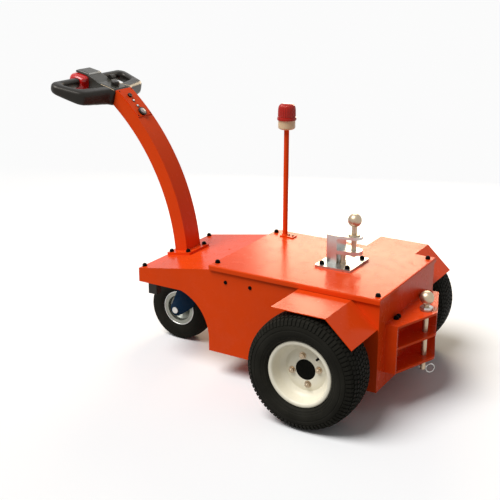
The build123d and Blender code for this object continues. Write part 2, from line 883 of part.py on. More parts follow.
def belly_button():
    """Soft button that wraps the front of the head and the middle of the grip's front bar."""
    back = cap_rear + 7
    foot = back - housing_lean
    front = button_front
    outline = rounded_outline(
        [
            (back, cap_low, 0.5),
            (front - 10, cap_low, 18),
            (front + 1, -14, 34),
            (front - 42, button_bottom, 26),
            (foot + 10, button_bottom, 8),
            (foot, -chin_depth, 0.5),
        ]
    )
    pad = extrude(Plane.XZ * outline, amount=button_half_width, both=True)
    rims = pad.faces().filter_by(Axis.Y).edges()
    pad = fillet([edge for edge in rims if edge.center().X > back + 1], button_round)
    low = grip_top - grip_bar - 10
    bar = block(
        grip_front - grip_bar - 2, grip_front + 2, -grip_half_width, grip_half_width, low, grip_top + 2
    )
    return on_head(pad - bar)


def thumb_lever():
    """Lever at the right side of the housing, beside the dash."""
    place = Pos(dash_foot + lever_radius, -housing_half_width - lever_length / 2, cap_low - 2)
    return on_head(place * Rot(90, 0, 0) * Cylinder(lever_radius, lever_length))


def neck_knob():
    """Round knob on the neck cover, behind the dash."""
    low = grip_top + cover_sheet
    knob = Pos(neck_front - knob_radius, 0, low + knob_height / 2) * Cylinder(knob_radius, knob_height)
    return on_head(fillet(knob.edges().group_by(Axis.Z)[-1], 6))


def beacon_pole():
    """Upright tube of the warning beacon."""
    return rod_z(pole_radius, beacon_x, beacon_y, deck_height + foot_thick, pole_top)


def beacon_foot():
    """Foot plate that bolts the pole to the lid."""
    plate = block(
        beacon_x - foot_length + foot_width / 2,
        beacon_x + foot_width / 2,
        beacon_y - foot_width / 2,
        beacon_y + foot_width / 2,
        deck_height,
        deck_height + foot_thick,
    )
    return fillet(plate.edges().filter_by(Axis.Z), 6)


def beacon_base():
    """Pale round housing under the lens."""
    base = rod_z(beacon_base_radius, beacon_x, beacon_y, pole_top, pole_top + beacon_base_height)
    return fillet(base.edges().group_by(Axis.Z)[0], 8)


def beacon_lens():
    """Red ribbed dome on a collar ring."""
    low = pole_top + beacon_base_height
    dome = rod_z(dome_radius - 1.5, beacon_x, beacon_y, low, low + dome_height)
    dome = fillet(dome.edges().group_by(Axis.Z)[-1], 16)
    ring = rod_z(dome_radius + 1, beacon_x, beacon_y, low, low + 10)
    return dome + ring


def horn():
    """Black block under the left front of the nose."""
    length, width, height = horn_size
    body = block(
        horn_x - length / 2, horn_x + length / 2, horn_y - width / 2, horn_y + width / 2,
        nose_bottom - height, nose_bottom,
    )
    return fillet(body.edges().filter_by(Axis.Z), 4)


def build():
    """Every node by name."""
    left = {
        "side_panel": side_panel(),
        "fender": fender(),
        "drive_tyre": drive_tyre(),
        "drive_rim": drive_rim(),
        "drive_hub": drive_hub(),
        "axle_stub": axle_stub(),
    }
    nodes = {f"{name}_left": shape for name, shape in left.items()}
    nodes.update({f"{name}_right": mirrored(shape) for name, shape in left.items()})
    nodes["rear_panel"] = rear_panel()
    nodes["floor_pan"] = floor_pan()
    nodes["castor_bulkhead"] = castor_bulkhead()
    nodes["castor_mount_plate"] = castor_mount_plate()
    nodes["nose_front_plate"] = nose_front_plate()
    nodes["nose_cover"] = nose_cover()
    nodes["lid_rail"] = lid_rail()
    nodes["deck_lid"] = deck_lid()
    nodes["drive_block"] = drive_block()
    nodes["battery_block"] = battery_block()
    nodes["castor_top_plate"] = castor_top_plate()
    nodes["castor_fork"] = castor_fork()
    nodes["castor_axle"] = castor_axle()
    nodes["castor_rim"] = castor_rim()
    nodes["castor_tyre"] = castor_tyre()
    inner = hitch_half_width - hitch_plate
    levels = (hitch_bottom, hitch_middle, hitch_top)
    shelves = zip(("lower", "middle", "upper"), levels, (inner, inner, hitch_half_width))
    for name, level, half_width in shelves:
        nodes[f"hitch_shelf_{name}"] = hitch_shelf(level, half_width)
    nodes["hitch_cheek_left"] = hitch_cheek()
    nodes["hitch_cheek_right"] = mirrored(hitch_cheek())
    nodes["hitch_ball_pin"] = hitch_ball_pin()
    nodes["hitch_clip"] = hitch_clip()
    nodes["deck_base_plate"] = deck_base_plate()
    nodes["deck_jaw"] = deck_jaw()
    nodes["deck_ball_pin"] = deck_ball_pin()
    nodes["tiller_flange"] = tiller_flange()
    nodes["tiller_arm"] = tiller_arm()
    nodes["control_panel"] = control_panel()
    nodes["charge_gauge"] = charge_gauge()
    nodes["key_switch"] = key_switch()
    nodes["grip_loop"] = grip_loop()
    nodes["head_housing"] = head_housing()
    nodes["belly_button"] = belly_button()
    nodes["thumb_lever"] = thumb_lever()
    nodes["neck_knob"] = neck_knob()
    nodes["beacon_foot"] = beacon_foot()
    nodes["beacon_pole"] = beacon_pole()
    nodes["beacon_base"] = beacon_base()
    nodes["beacon_lens"] = beacon_lens()
    nodes["horn"] = horn()
    return nodes


def write(nodes):
    """Write the nodes, moved so that the origin is on the floor under the middle of the tug."""
    boxes = [shape.bounding_box() for shape in nodes.values()]
    rear = min(box.min.X for box in boxes)
    front = max(box.max.X for box in boxes)
    shift = -(rear + front) / 2
    os.makedirs("parts", exist_ok=True)
    for name, shape in nodes.items():
        moved = Pos(shift, 0, 0) * shape
        moved.label = name
        export_step(moved, f"parts/{name}.step")
    print(f"frame shift {shift:.3f}, overall length {front - rear:.1f}")


write(build())
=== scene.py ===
"""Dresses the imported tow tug: finishes, tyre treads, wheels, fasteners, welds, head trim, beacon and studio.

Pieces are drawn in millimetres from the drive axle and moved into the frame when they are finished.
"""

import json
import math

import bmesh
import bpy
from mathutils import Matrix, Vector


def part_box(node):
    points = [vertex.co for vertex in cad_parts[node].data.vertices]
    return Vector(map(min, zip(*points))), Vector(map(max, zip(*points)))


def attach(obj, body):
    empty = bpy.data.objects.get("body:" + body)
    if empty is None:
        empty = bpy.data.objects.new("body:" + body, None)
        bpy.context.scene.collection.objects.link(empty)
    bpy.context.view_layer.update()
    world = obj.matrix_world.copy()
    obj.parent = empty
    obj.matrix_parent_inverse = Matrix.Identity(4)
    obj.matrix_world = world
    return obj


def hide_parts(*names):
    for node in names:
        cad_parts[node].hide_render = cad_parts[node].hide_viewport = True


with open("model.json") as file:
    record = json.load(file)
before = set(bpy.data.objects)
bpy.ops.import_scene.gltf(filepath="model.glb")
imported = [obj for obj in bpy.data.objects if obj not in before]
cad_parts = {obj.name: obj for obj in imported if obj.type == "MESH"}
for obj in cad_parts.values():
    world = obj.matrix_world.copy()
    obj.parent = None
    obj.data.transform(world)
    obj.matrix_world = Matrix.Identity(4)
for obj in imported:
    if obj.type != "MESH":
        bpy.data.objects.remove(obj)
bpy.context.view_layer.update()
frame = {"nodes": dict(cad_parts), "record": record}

bl_info = {
    "name": "Tow Tug Dressing",
    "version": (1, 0, 0),
    "blender": (4, 5, 0),
    "location": "3D View > Sidebar > Tow Tug",
    "description": "Finishes, treads, fasteners and studio for the walk-behind tow tug",
    "category": "Object",
}

MM = 0.001
LEFT_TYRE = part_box("drive_tyre_left")
AXLE_X = (LEFT_TYRE[0].x + LEFT_TYRE[1].x) / 2
FROM_AXLE = Matrix.Translation((AXLE_X, 0, 0)) @ Matrix.Scale(MM, 4)
TO_AXLE = FROM_AXLE.inverted()
AS_DRAWN = Matrix.Identity(4)
SIDES = ((1, "left"), (-1, "right"))


def node_box(name):
    """A node's lowest and highest corner, in millimetres from the drive axle."""
    low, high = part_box(name)
    return TO_AXLE @ low, TO_AXLE @ high


# Levels and widths that the frame gives
TYRE_LOW, TYRE_HIGH = node_box("drive_tyre_left")
AXLE_Z = (TYRE_LOW.z + TYRE_HIGH.z) / 2
TYRE_RADIUS = TYRE_HIGH.z - AXLE_Z
TYRE_MID_Y = (TYRE_LOW.y + TYRE_HIGH.y) / 2
TYRE_HALF = TYRE_HIGH.y - TYRE_MID_Y
DECK_Z = node_box("deck_lid")[1].z
PLATE_LOW, PLATE_HIGH = node_box("deck_base_plate")
SIDE_Y = node_box("side_panel_left")[1].y
SHELF_TOP = node_box("hitch_shelf_upper")[1].z
CHEEK_Y = node_box("hitch_cheek_left")[1].y
REAR_X = node_box("rear_panel")[0].x
LID_FRONT = node_box("deck_lid")[1].x
POLE_LOW, POLE_HIGH = node_box("beacon_pole")
LENS_LOW, LENS_HIGH = node_box("beacon_lens")

# Slopes and places of the nose, arm and head
NOSE_TILT = math.radians(9.41)
NOSE_START = (484.5, 417.95)
NOSE_SLOPE = -0.16575
FLANGE_X = 750.0
FLANGE_TOP = 10.0
ARM_CENTRE = (1606.5, 306.0)
PANEL_RADIUS = 888.6
HEAD_ORIGIN = (1052.1, 0.0, 978.1)
HEAD_TILT = math.radians(-12)


# Sizes and colours a user may change


class TugFinish(bpy.types.PropertyGroup):
    """Colours of the tug's finishes."""

    body: bpy.props.FloatVectorProperty(
        name="Body paint", description="Colour of the sheet metal", default=(0.80, 0.064, 0.006),
        subtype="COLOR", size=3, min=0, max=1,
    )
    wheel: bpy.props.FloatVectorProperty(
        name="Wheel paint", description="Colour of the drive rims", default=(0.92, 0.86, 0.69),
        subtype="COLOR", size=3, min=0, max=1,
    )
    fork: bpy.props.FloatVectorProperty(
        name="Fork paint", description="Colour of the castor fork", default=(0.005, 0.026, 0.062),
        subtype="COLOR", size=3, min=0, max=1,
    )
    rubber: bpy.props.FloatVectorProperty(
        name="Tyre rubber", description="Colour of the tyres", default=(0.020, 0.019, 0.015),
        subtype="COLOR", size=3, min=0, max=1,
    )
    lamp: bpy.props.FloatVectorProperty(
        name="Beacon red", description="Colour of the beacon's dome", default=(0.46, 0.010, 0.006),
        subtype="COLOR", size=3, min=0, max=1,
    )


class TugTread(bpy.types.PropertyGroup):
    """Sizes of the drive tyres' tread."""

    pitches: bpy.props.IntProperty(
        name="Pitches", description="Tread blocks in one row around the tyre", default=78, min=20, max=90
    )
    depth: bpy.props.FloatProperty(
        name="Tread depth", description="Height of the blocks", default=0.0038, unit="LENGTH"
    )


class TugFasteners(bpy.types.PropertyGroup):
    """Sizes of the caps, nuts and welds."""

    cap_radius: bpy.props.FloatProperty(
        name="Cap radius", description="Radius of the black domed caps", default=0.0088, unit="LENGTH"
    )
    cap_height: bpy.props.FloatProperty(
        name="Cap height", description="Height of the black domed caps", default=0.0125, unit="LENGTH"
    )
    nut_radius: bpy.props.FloatProperty(
        name="Wheel nut", description="Corner radius of the wheel nuts", default=0.0095, unit="LENGTH"
    )
    bead: bpy.props.FloatProperty(
        name="Weld bead", description="Radius of the weld beads", default=0.0026, unit="LENGTH"
    )


class TugStudio(bpy.types.PropertyGroup):
    """Light levels of the studio."""

    sun: bpy.props.FloatProperty(name="Key light", description="Strength of the soft key light", default=3.0)
    ambient: bpy.props.FloatProperty(
        name="Ambient", description="Strength of the surrounding light", default=0.22
    )
    softbox: bpy.props.FloatProperty(
        name="Softbox", description="Power of the box that lights the deck from behind", default=32.0,
        unit="POWER",
    )
    bounce: bpy.props.FloatProperty(
        name="Floor bounce", description="Share of the floor's colour that lights the tug", default=0.42,
        min=0, max=1,
    )
    floor: bpy.props.FloatVectorProperty(
        name="Floor", description="Colour of the floor", default=(0.93, 0.93, 0.93), subtype="COLOR", size=3
    )


# Mesh helpers

SPIN_GAP = 1e-4
WELD_SIDES = 8
WELD_STEP = 0.9
WELD_SWELL = (0.86, 1.12)


def spun(profile, steps, closed=False):
    """A shape spun about Z from points (radius, height)."""
    bm = bmesh.new()
    ring = [bm.verts.new((radius, 0, height)) for radius, height in profile]
    for first, second in zip(ring, ring[1:]):
        bm.edges.new((first, second))
    if closed:
        bm.edges.new((ring[-1], ring[0]))
    bmesh.ops.spin(
        bm, geom=bm.verts[:] + bm.edges[:], cent=(0, 0, 0), axis=(0, 0, 1), angle=math.tau, steps=steps,
        use_merge=True,
    )
    bmesh.ops.remove_doubles(bm, verts=bm.verts[:], dist=SPIN_GAP)
    bmesh.ops.recalc_face_normals(bm, faces=bm.faces[:])
    return bm


def soften(bm, edges, offset, segments=2):
    """Round edges over."""
    bmesh.ops.bevel(
        bm, geom=edges, offset=offset, affect="EDGES", segments=segments, profile=0.5, material=-1
    )


def slab(size, bevel):
    """A block about its own middle with softened edges."""
    bm = bmesh.new()
    bmesh.ops.create_cube(bm, size=1)
    bmesh.ops.scale(bm, vec=size, verts=bm.verts[:])
    soften(bm, bm.edges[:], bevel)
    return bm


def hexagon(radius, height, chamfer):
    """An upright hexagon standing on its foot, its top edges softened."""
    bm = bmesh.new()
    bmesh.ops.create_cone(bm, cap_ends=True, segments=6, radius1=radius, radius2=radius, depth=height)
    bmesh.ops.translate(bm, vec=(0, 0, height / 2), verts=bm.verts[:])
    soften(bm, [edge for edge in bm.edges if all(vert.co.z > height / 2 for vert in edge.verts)], chamfer)
    return bm


def pushed_out(bm, faces, keep):
    """Extrude faces, keeping the old ones or not; gives the new points and the new faces."""
    moved = bmesh.ops.extrude_face_region(bm, geom=faces, use_keep_orig=keep)["geom"]
    verts = [item for item in moved if isinstance(item, bmesh.types.BMVert)]
    return verts, [item for item in moved if isinstance(item, bmesh.types.BMFace)]


def tube(points, radius, sides):
    """A round wire through points, its ends closed."""
    bm = bmesh.new()
    path = [Vector(point) for point in points]
    heading = (path[1] - path[0]).normalized()
    turn = heading.to_track_quat("Z", "Y").to_matrix().to_4x4()
    bmesh.ops.create_circle(
        bm, cap_ends=True, segments=sides, radius=radius, matrix=Matrix.Translation(path[0]) @ turn
    )
    lead = bm.faces[:]
    for index in range(1, len(path)):
        ahead = (path[min(index + 1, len(path) - 1)] - path[index - 1]).normalized()
        verts, lead = pushed_out(bm, lead, keep=index == 1)
        centre = sum((vert.co for vert in verts), Vector()) / len(verts)
        bend = heading.rotation_difference(ahead).to_matrix()
        bmesh.ops.rotate(bm, verts=verts, cent=centre, matrix=bend)
        bmesh.ops.translate(bm, verts=verts, vec=path[index] - centre)
        heading = ahead
    bmesh.ops.recalc_face_normals(bm, faces=bm.faces[:])
    return bm


def weld_run(start, end, radius):
    """A rippled bead from start to end."""
    start, end = Vector(start), Vector(end)
    length = (end - start).length
    count = max(4, int(length / (radius * WELD_STEP)))
    bm = tube([start.lerp(end, index / count) for index in range(count + 1)], radius, WELD_SIDES)
    along = (end - start).normalized()
    for vert in bm.verts:
        reach = (vert.co - start).dot(along)
        step = round(reach / length * count)
        spine = start + along * reach
        vert.co = spine + (vert.co - spine) * WELD_SWELL[step % 2]
    return bm


def mesh_from(name, bm):
    """A mesh from a bmesh, which is freed."""
    mesh = bpy.data.meshes.new(name)
    bm.to_mesh(mesh)
    bm.free()
    return mesh


def gather(parts):
    """One bmesh from (bmesh, matrix) pairs."""
    whole = bmesh.new()
    for part, matrix in parts:
        mesh = mesh_from("part", part)
        mesh.transform(matrix)
        whole.from_mesh(mesh)
        bpy.data.meshes.remove(mesh)
    return whole


def placed(bm, matrix):
    """One bmesh moved to its place."""
    return gather([(bm, matrix)])


def linked_object(name, data):
    """A new object in the scene."""
    made = bpy.data.objects.new(name, data)
    bpy.context.scene.collection.objects.link(made)
    return made


def finish_piece(name, bm, material, sharp, body="chassis", replaced=()):
    """Put a drawn piece in the frame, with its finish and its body."""
    bmesh.ops.transform(bm, matrix=FROM_AXLE, verts=bm.verts[:])
    mesh = mesh_from(name, bm)
    mesh.shade_smooth()
    mesh.set_sharp_from_angle(angle=math.radians(sharp))
    mesh.materials.append(bpy.data.materials[material])
    piece = linked_object(name, mesh)
    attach(piece, body)
    if replaced:
        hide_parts(*replaced)
    return piece


def upright(x, y, z):
    """Plain placing."""
    return Matrix.Translation((x, y, z))


def facing_y(x, y, z, side):
    """From a piece standing on its foot to an upright face that looks to the left (1) or right (-1)."""
    return upright(x, y, z) @ Matrix.Rotation(-side * math.pi / 2, 4, "X")


def facing_rear(x, y, z):
    """From a piece standing on its foot to an upright face that looks to the rear."""
    return upright(x, y, z) @ Matrix.Rotation(-math.pi / 2, 4, "Y")


def on_wheel(side):
    """From a wheel drawn about Z, outside up, to its place on the left (1) or right (-1)."""
    return facing_y(0, side * TYRE_MID_Y, AXLE_Z, side)


def on_nose(x, y):
    """From a piece standing on its foot to the sloping nose cover."""
    z = NOSE_START[1] + NOSE_SLOPE * (x - NOSE_START[0])
    return upright(x, 0, z) @ Matrix.Rotation(NOSE_TILT, 4, "Y") @ upright(0, y, 0)


def on_arm_rear(angle, y):
    """From a piece standing on its foot to the panel on the arm, at an angle about the arm's centre."""
    turn = math.radians(angle)
    x = ARM_CENTRE[0] - PANEL_RADIUS * math.cos(turn)
    z = ARM_CENTRE[1] + PANEL_RADIUS * math.sin(turn)
    return upright(x, y, z) @ Matrix.Rotation(turn - math.pi / 2, 4, "Y")


def on_head(u, v, w):
    """From a piece about its own middle to a place on the tilted head."""
    return upright(*HEAD_ORIGIN) @ Matrix.Rotation(HEAD_TILT, 4, "Y") @ upright(u, v, w)


# Materials

MIX_A, MIX_B, MIX_RESULT = 6, 7, 2
PATCH_RANGE = (0.32, 0.68)
SMEAR_FINER = 5.0
SMEAR_RANGE = (0.3, 0.7)
DUST_COLOUR = (0.42, 0.38, 0.32, 1)
DUST_TOP = 0.45
DUST_ON_TOP = 0.25
DUST_CLOUD_SCALE = 14.0
DUST_CLOUD_RANGE = (0.42, 0.75)
DUST_ROUGHNESS = 0.9
RIPPLE_COARSER = 0.09


def feed(tree, target, inputs):
    """Feed a node's inputs from values or from other nodes' sockets."""
    for label, value in inputs.items():
        if isinstance(value, bpy.types.NodeSocket):
            tree.links.new(value, target.inputs[label])
        else:
            target.inputs[label].default_value = value


def node(tree, kind, inputs, **settings):
    """A new node with its settings and its inputs fed."""
    made = tree.nodes.new(kind)
    for label, value in settings.items():
        setattr(made, label, value)
    feed(tree, made, inputs)
    return made


def noise(tree, vector, scale, detail, roughness=0.55):
    """A noise texture on a vector socket."""
    inputs = {"Vector": vector, "Scale": scale, "Detail": detail, "Roughness": roughness}
    return node(tree, "ShaderNodeTexNoise", inputs).outputs["Fac"]


def spread(tree, value, low, high, to_low, to_high):
    """Map a value's range low..high to to_low..to_high; the last two may be sockets."""
    inputs = {"Value": value, "From Min": low, "From Max": high, "To Min": to_low, "To Max": to_high}
    return node(tree, "ShaderNodeMapRange", inputs).outputs["Result"]


def blend_colour(tree, factor, first, second):
    """Mix two colours by a factor socket."""
    inputs = {"Factor": factor, MIX_A: first, MIX_B: second}
    return node(tree, "ShaderNodeMix", inputs, data_type="RGBA").outputs[MIX_RESULT]


def calculated(tree, operation, first, second):
    """Result of a sum, a product or another operation on two values."""
    return node(tree, "ShaderNodeMath", {0: first, 1: second}, operation=operation).outputs[0]


def new_group(name, inputs, outputs):
    """A shader group with a vector and its own inputs; gives the group and its inner sockets."""
    group = bpy.data.node_groups.new(name, "ShaderNodeTree")
    group.interface.new_socket("Vector", in_out="INPUT", socket_type="NodeSocketVector")
    for label, value in inputs.items():
        kind = "NodeSocketFloat" if isinstance(value, float) else "NodeSocketColor"
        group.interface.new_socket(label, in_out="INPUT", socket_type=kind).default_value = value
    for label in outputs:
        kind = "NodeSocketColor" if label == "Color" else "NodeSocketFloat"
        group.interface.new_socket(label, in_out="OUTPUT", socket_type=kind)
    return group, group.nodes.new("NodeGroupInput").outputs


def patchy_tone_group():
    """Colour and roughness that drift between two tones in soft patches."""
    group, enter = new_group(
        "patchy_tone",
        {"Scale": 8.0, "Light": (0.8, 0.8, 0.8, 1), "Dark": (0.6, 0.6, 0.6, 1), "Smooth": 0.25, "Rough": 0.4},
        ["Color", "Roughness"],
    )
    broad = noise(group, enter["Vector"], enter["Scale"], detail=4)
    patch = spread(group, broad, *PATCH_RANGE, 0.0, 1.0)
    colour = blend_colour(group, patch, enter["Light"], enter["Dark"])
    finer = calculated(group, "MULTIPLY", enter["Scale"], SMEAR_FINER)
    smear = noise(group, enter["Vector"], finer, detail=6, roughness=0.65)
    rough = spread(group, smear, *SMEAR_RANGE, enter["Smooth"], enter["Rough"])
    node(group, "NodeGroupOutput", {"Color": colour, "Roughness": rough})


def settled_dust_group():
    """Fine dust in clouds that gathers towards the floor."""
    group, enter = new_group(
        "settled_dust",
        {"Color": (0.8, 0.8, 0.8, 1), "Roughness": 0.4, "Dust": DUST_COLOUR, "Amount": 0.1},
        ["Color", "Roughness"],
    )
    level = node(group, "ShaderNodeSeparateXYZ", {0: enter["Vector"]}).outputs["Z"]
    low = spread(group, level, 0.0, DUST_TOP, 1.0, DUST_ON_TOP)
    cloud = noise(group, enter["Vector"], DUST_CLOUD_SCALE, detail=8, roughness=0.7)
    lying = calculated(group, "MULTIPLY", low, spread(group, cloud, *DUST_CLOUD_RANGE, 0.0, 1.0))
    amount = calculated(group, "MULTIPLY", lying, enter["Amount"])
    colour = blend_colour(group, amount, enter["Color"], enter["Dust"])
    rough = spread(group, amount, 0.0, 1.0, enter["Roughness"], DUST_ROUGHNESS)
    node(group, "NodeGroupOutput", {"Color": colour, "Roughness": rough})


def fine_skin_group():
    """Height of a fine grain, with a slower ripple under it."""
    group, enter = new_group("fine_skin", {"Scale": 600.0, "Ripple": 0.4}, ["Height"])
    grain = noise(group, enter["Vector"], enter["Scale"], detail=3)
    coarser = calculated(group, "MULTIPLY", enter["Scale"], RIPPLE_COARSER)
    slow = noise(group, enter["Vector"], coarser, detail=2)
    ripple = calculated(group, "MULTIPLY", slow, enter["Ripple"])
    node(group, "NodeGroupOutput", {"Height": calculated(group, "ADD", grain, ripple)})


def group_outputs(tree, name, inputs):
    """Place a shared group in a material with its own values; gives what it puts out."""
    return node(tree, "ShaderNodeGroup", inputs, node_tree=bpy.data.node_groups[name]).outputs


def shaded(colour, share):
    """A colour with its light reduced to a share, as a four-value tuple."""
    return (colour[0] * share, colour[1] * share, colour[2] * share, 1)


def make_finish(name, colour, dark, patch, smooth, rough, grain, ripple, relief, dust, settings):
    """A material with patchy tone, settled dust and a fine skin; settings are the shader's own sockets."""
    material = bpy.data.materials.new(name)
    material.use_nodes = True
    tree = material.node_tree
    place = tree.nodes.new("ShaderNodeTexCoord").outputs["Object"]
    tone = group_outputs(tree, "patchy_tone", {
        "Vector": place, "Scale": patch, "Light": shaded(colour, 1), "Dark": shaded(colour, dark),
        "Smooth": smooth, "Rough": rough,
    })
    dusty = group_outputs(tree, "settled_dust", {
        "Vector": place, "Color": tone["Color"], "Roughness": tone["Roughness"], "Amount": dust,
    })
    skin = group_outputs(tree, "fine_skin", {"Vector": place, "Scale": grain, "Ripple": ripple})
    bump = {"Strength": 1.0, "Distance": relief * MM, "Height": skin["Height"]}
    normal = node(tree, "ShaderNodeBump", bump).outputs["Normal"]
    feed(tree, tree.nodes["Principled BSDF"], {
        "Base Color": dusty["Color"], "Roughness": dusty["Roughness"], "Normal": normal, **settings,
    })


PLAIN = {}
METAL = {"Metallic": 1.0}
GLOSS = {"Specular IOR Level": 0.07, "Specular Tint": (1.0, 0.70, 0.45, 1)}
DULL = {"Specular IOR Level": 0.02}
MOULDED = {"Specular IOR Level": 0.32, "Specular Tint": (1.0, 0.93, 0.84, 1)}
SHINY = {"Specular IOR Level": 0.45}
LENS = {"Specular IOR Level": 0.45, "Specular Tint": (1.0, 0.55, 0.45, 1)}

# Name, colour or its name in TugFinish, dark share, scale of the patches, smoothest, roughest, scale of the
# grain, ripple, relief in millimetres, dust, the shader's own sockets
FINISHES = (
    ("body_paint", "body", 0.93, 5.0, 0.20, 0.30, 520.0, 0.8, 0.009, 0.04, GLOSS),
    ("wheel_paint", "wheel", 0.90, 9.0, 0.32, 0.46, 480.0, 0.7, 0.02, 0.12, PLAIN),
    ("fork_paint", "fork", 0.85, 12.0, 0.25, 0.4, 520.0, 0.8, 0.02, 0.05, DULL),
    ("worn_rubber", "rubber", 0.70, 10.0, 0.40, 0.60, 900.0, 0.6, 0.06, 0.02, DULL),
    ("satin_black", (0.005, 0.005, 0.004), 0.8, 12.0, 0.35, 0.55, 700.0, 0.4, 0.03, 0.02, DULL),
    ("black_cap", (0.005, 0.004, 0.004), 0.8, 30.0, 0.30, 0.45, 900.0, 0.4, 0.02, 0.0, DULL),
    ("pressed_silver", (0.30, 0.31, 0.27), 0.80, 14.0, 0.30, 0.45, 300.0, 0.5, 0.01, 0.06, METAL),
    ("zinc_plate", (0.58, 0.575, 0.55), 0.88, 18.0, 0.26, 0.38, 260.0, 0.6, 0.005, 0.02, METAL),
    ("pin_steel", (0.50, 0.395, 0.28), 0.80, 22.0, 0.32, 0.46, 260.0, 0.6, 0.006, 0.02, METAL),
    ("black_moulding", (0.006, 0.005, 0.004), 0.85, 12.0, 0.30, 0.42, 1100.0, 0.3, 0.03, 0.02, MOULDED),
    ("housing_grey", (0.035, 0.033, 0.025), 0.85, 14.0, 0.28, 0.40, 1100.0, 0.3, 0.03, 0.02, SHINY),
    ("button_red", (0.66, 0.008, 0.006), 0.80, 20.0, 0.12, 0.22, 500.0, 0.3, 0.01, 0.0, PLAIN),
    ("cream_moulding", (0.74, 0.57, 0.34), 0.93, 14.0, 0.28, 0.4, 700.0, 0.3, 0.02, 0.03, PLAIN),
    ("lamp_white", (0.85, 0.85, 0.80), 0.95, 20.0, 0.15, 0.25, 500.0, 0.3, 0.01, 0.0, PLAIN),
    ("gauge_grey", (0.44, 0.38, 0.37), 0.85, 40.0, 0.18, 0.3, 500.0, 0.3, 0.01, 0.0, PLAIN),
    ("beacon_red", "lamp", 0.8, 16.0, 0.14, 0.26, 400.0, 0.3, 0.01, 0.0, LENS),
)
PINS = ("deck_ball_pin", "hitch_ball_pin")

FINISH_OF_SLOT = {
    "orange_paint": "body_paint",
    "cream_paint": "wheel_paint",
    "tyre_rubber": "worn_rubber",
    "black_steel": "satin_black",
    "silver_steel": "pressed_silver",
    "blue_paint": "fork_paint",
    "zinc_steel": "zinc_plate",
    "black_plastic": "black_moulding",
    "red_plastic": "button_red",
    "cream_plastic": "cream_moulding",
    "red_lens": "beacon_red",
}


class TUG_OT_finish_frame(bpy.types.Operator):
    """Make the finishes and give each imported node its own"""

    bl_idname = "tug.finish_frame"
    bl_label = "Finish the frame"

    def execute(self, context):
        colours = context.scene.tug_finish
        patchy_tone_group()
        settled_dust_group()
        fine_skin_group()
        for name, colour, *values in FINISHES:
            make_finish(name, getattr(colours, colour) if isinstance(colour, str) else colour, *values)
        slots = {row["node"]: row["material_slot"] for row in frame["record"]["subparts"]}
        for name, piece in frame["nodes"].items():
            piece.data.materials.clear()
            finish = "pin_steel" if name in PINS else FINISH_OF_SLOT[slots[name]]
            piece.data.materials.append(bpy.data.materials[finish])
        return {"FINISHED"}


# Drive wheels

SHOULDER_Y = 0.9 * TYRE_HALF
SHOULDER_DROP = 0.044 * TYRE_RADIUS
WALL_RADIUS = 152.0
RIM_FLANGE = 118.0
BEAD_RADIUS = 104.0
BEAD_Y = 59.5
LUG_FOOT = 175.0
LUG_START = LUG_FOOT + 0.3
ROW_SLACK = 0.1
BLOCK_INSET = 0.5
BLOCK_SHORT = 0.3
SECTORS = 4
WEAR_START, WEAR_SPAN, WEAR_MOST = 50.0, 20.0, 3.0
# Rows of tread blocks: from y, to y, and the sectors by which the row is turned
ROWS = ((-7.0, 7.0, 0), (10.0, 24.0, 1), (27.0, 41.0, 3), (44.0, 57.0, 2), (60.0, SHOULDER_Y + 9, 0))
# Lines and dips of the sidewall: radius and rise
WALL_BANDS = (
    (118.0, -0.5), (121.0, 0.0), (122.5, 1.2), (127.0, 1.2), (129.0, -0.7), (136.0, -0.7), (137.5, -1.7),
    (139.5, -1.7), (141.0, -0.7), (147.0, -0.5), (152.0, -0.5), (157.0, -0.5), (158.5, -1.6), (161.0, -1.6),
    (162.5, -0.4), (168.0, -0.4), (173.5, -1.0), (LUG_FOOT, -3.4), (181.0, -4.6), (186.0, -6.6),
)
CROWN_STEPS = (70.0, 65.0, 60.0, 57.0, 50.5, 44.0, 41.0, 34.0, 27.0, 24.0, 17.0, 10.0, 7.0, 0.0)


def crown_radius(y):
    """Radius of the tyre's crown at a distance from its middle."""
    arc = (SHOULDER_Y**2 + SHOULDER_DROP**2) / (2 * SHOULDER_DROP)
    return TYRE_RADIUS - arc + math.sqrt(arc**2 - y**2)


def wall_y(radius):
    """Half width of the tyre's sidewall at a radius."""
    if radius < WALL_RADIUS:
        step, rise = TYRE_HALF - BEAD_Y, WALL_RADIUS - RIM_FLANGE
    else:
        step, rise = TYRE_HALF - SHOULDER_Y, TYRE_RADIUS - SHOULDER_DROP - WALL_RADIUS
    arc = (step**2 + rise**2) / (2 * step)
    return TYRE_HALF - arc + math.sqrt(arc**2 - (radius - WALL_RADIUS) ** 2)


def tyre_half_profile(depth):
    """Half of the tyre's section (radius, y), from the bead to the middle of the crown."""
    half = [(BEAD_RADIUS, BEAD_Y)] + [(radius, wall_y(radius) + rise) for radius, rise in WALL_BANDS]
    for y in CROWN_STEPS:
        worn = WEAR_MOST * max(0.0, (y - WEAR_START) / WEAR_SPAN) ** 2
        half.append((crown_radius(y) - depth - worn, y))
    return half


def in_block(face, pitches):
    """Whether a face of the bare tyre carries a tread block or a shoulder lug."""
    centre = face.calc_center_median()
    if math.hypot(centre.x, centre.y) < LUG_START:
        return False
    turn = math.atan2(centre.y, centre.x) % math.tau
    sector = int(turn / math.tau * pitches * SECTORS)
    for low, high, offset in ROWS:
        if max(low, 0) - ROW_SLACK < abs(centre.z) < high + ROW_SLACK:
            shift = offset if centre.z > 0 else -offset
            return (sector + shift) % SECTORS != 0
    return False


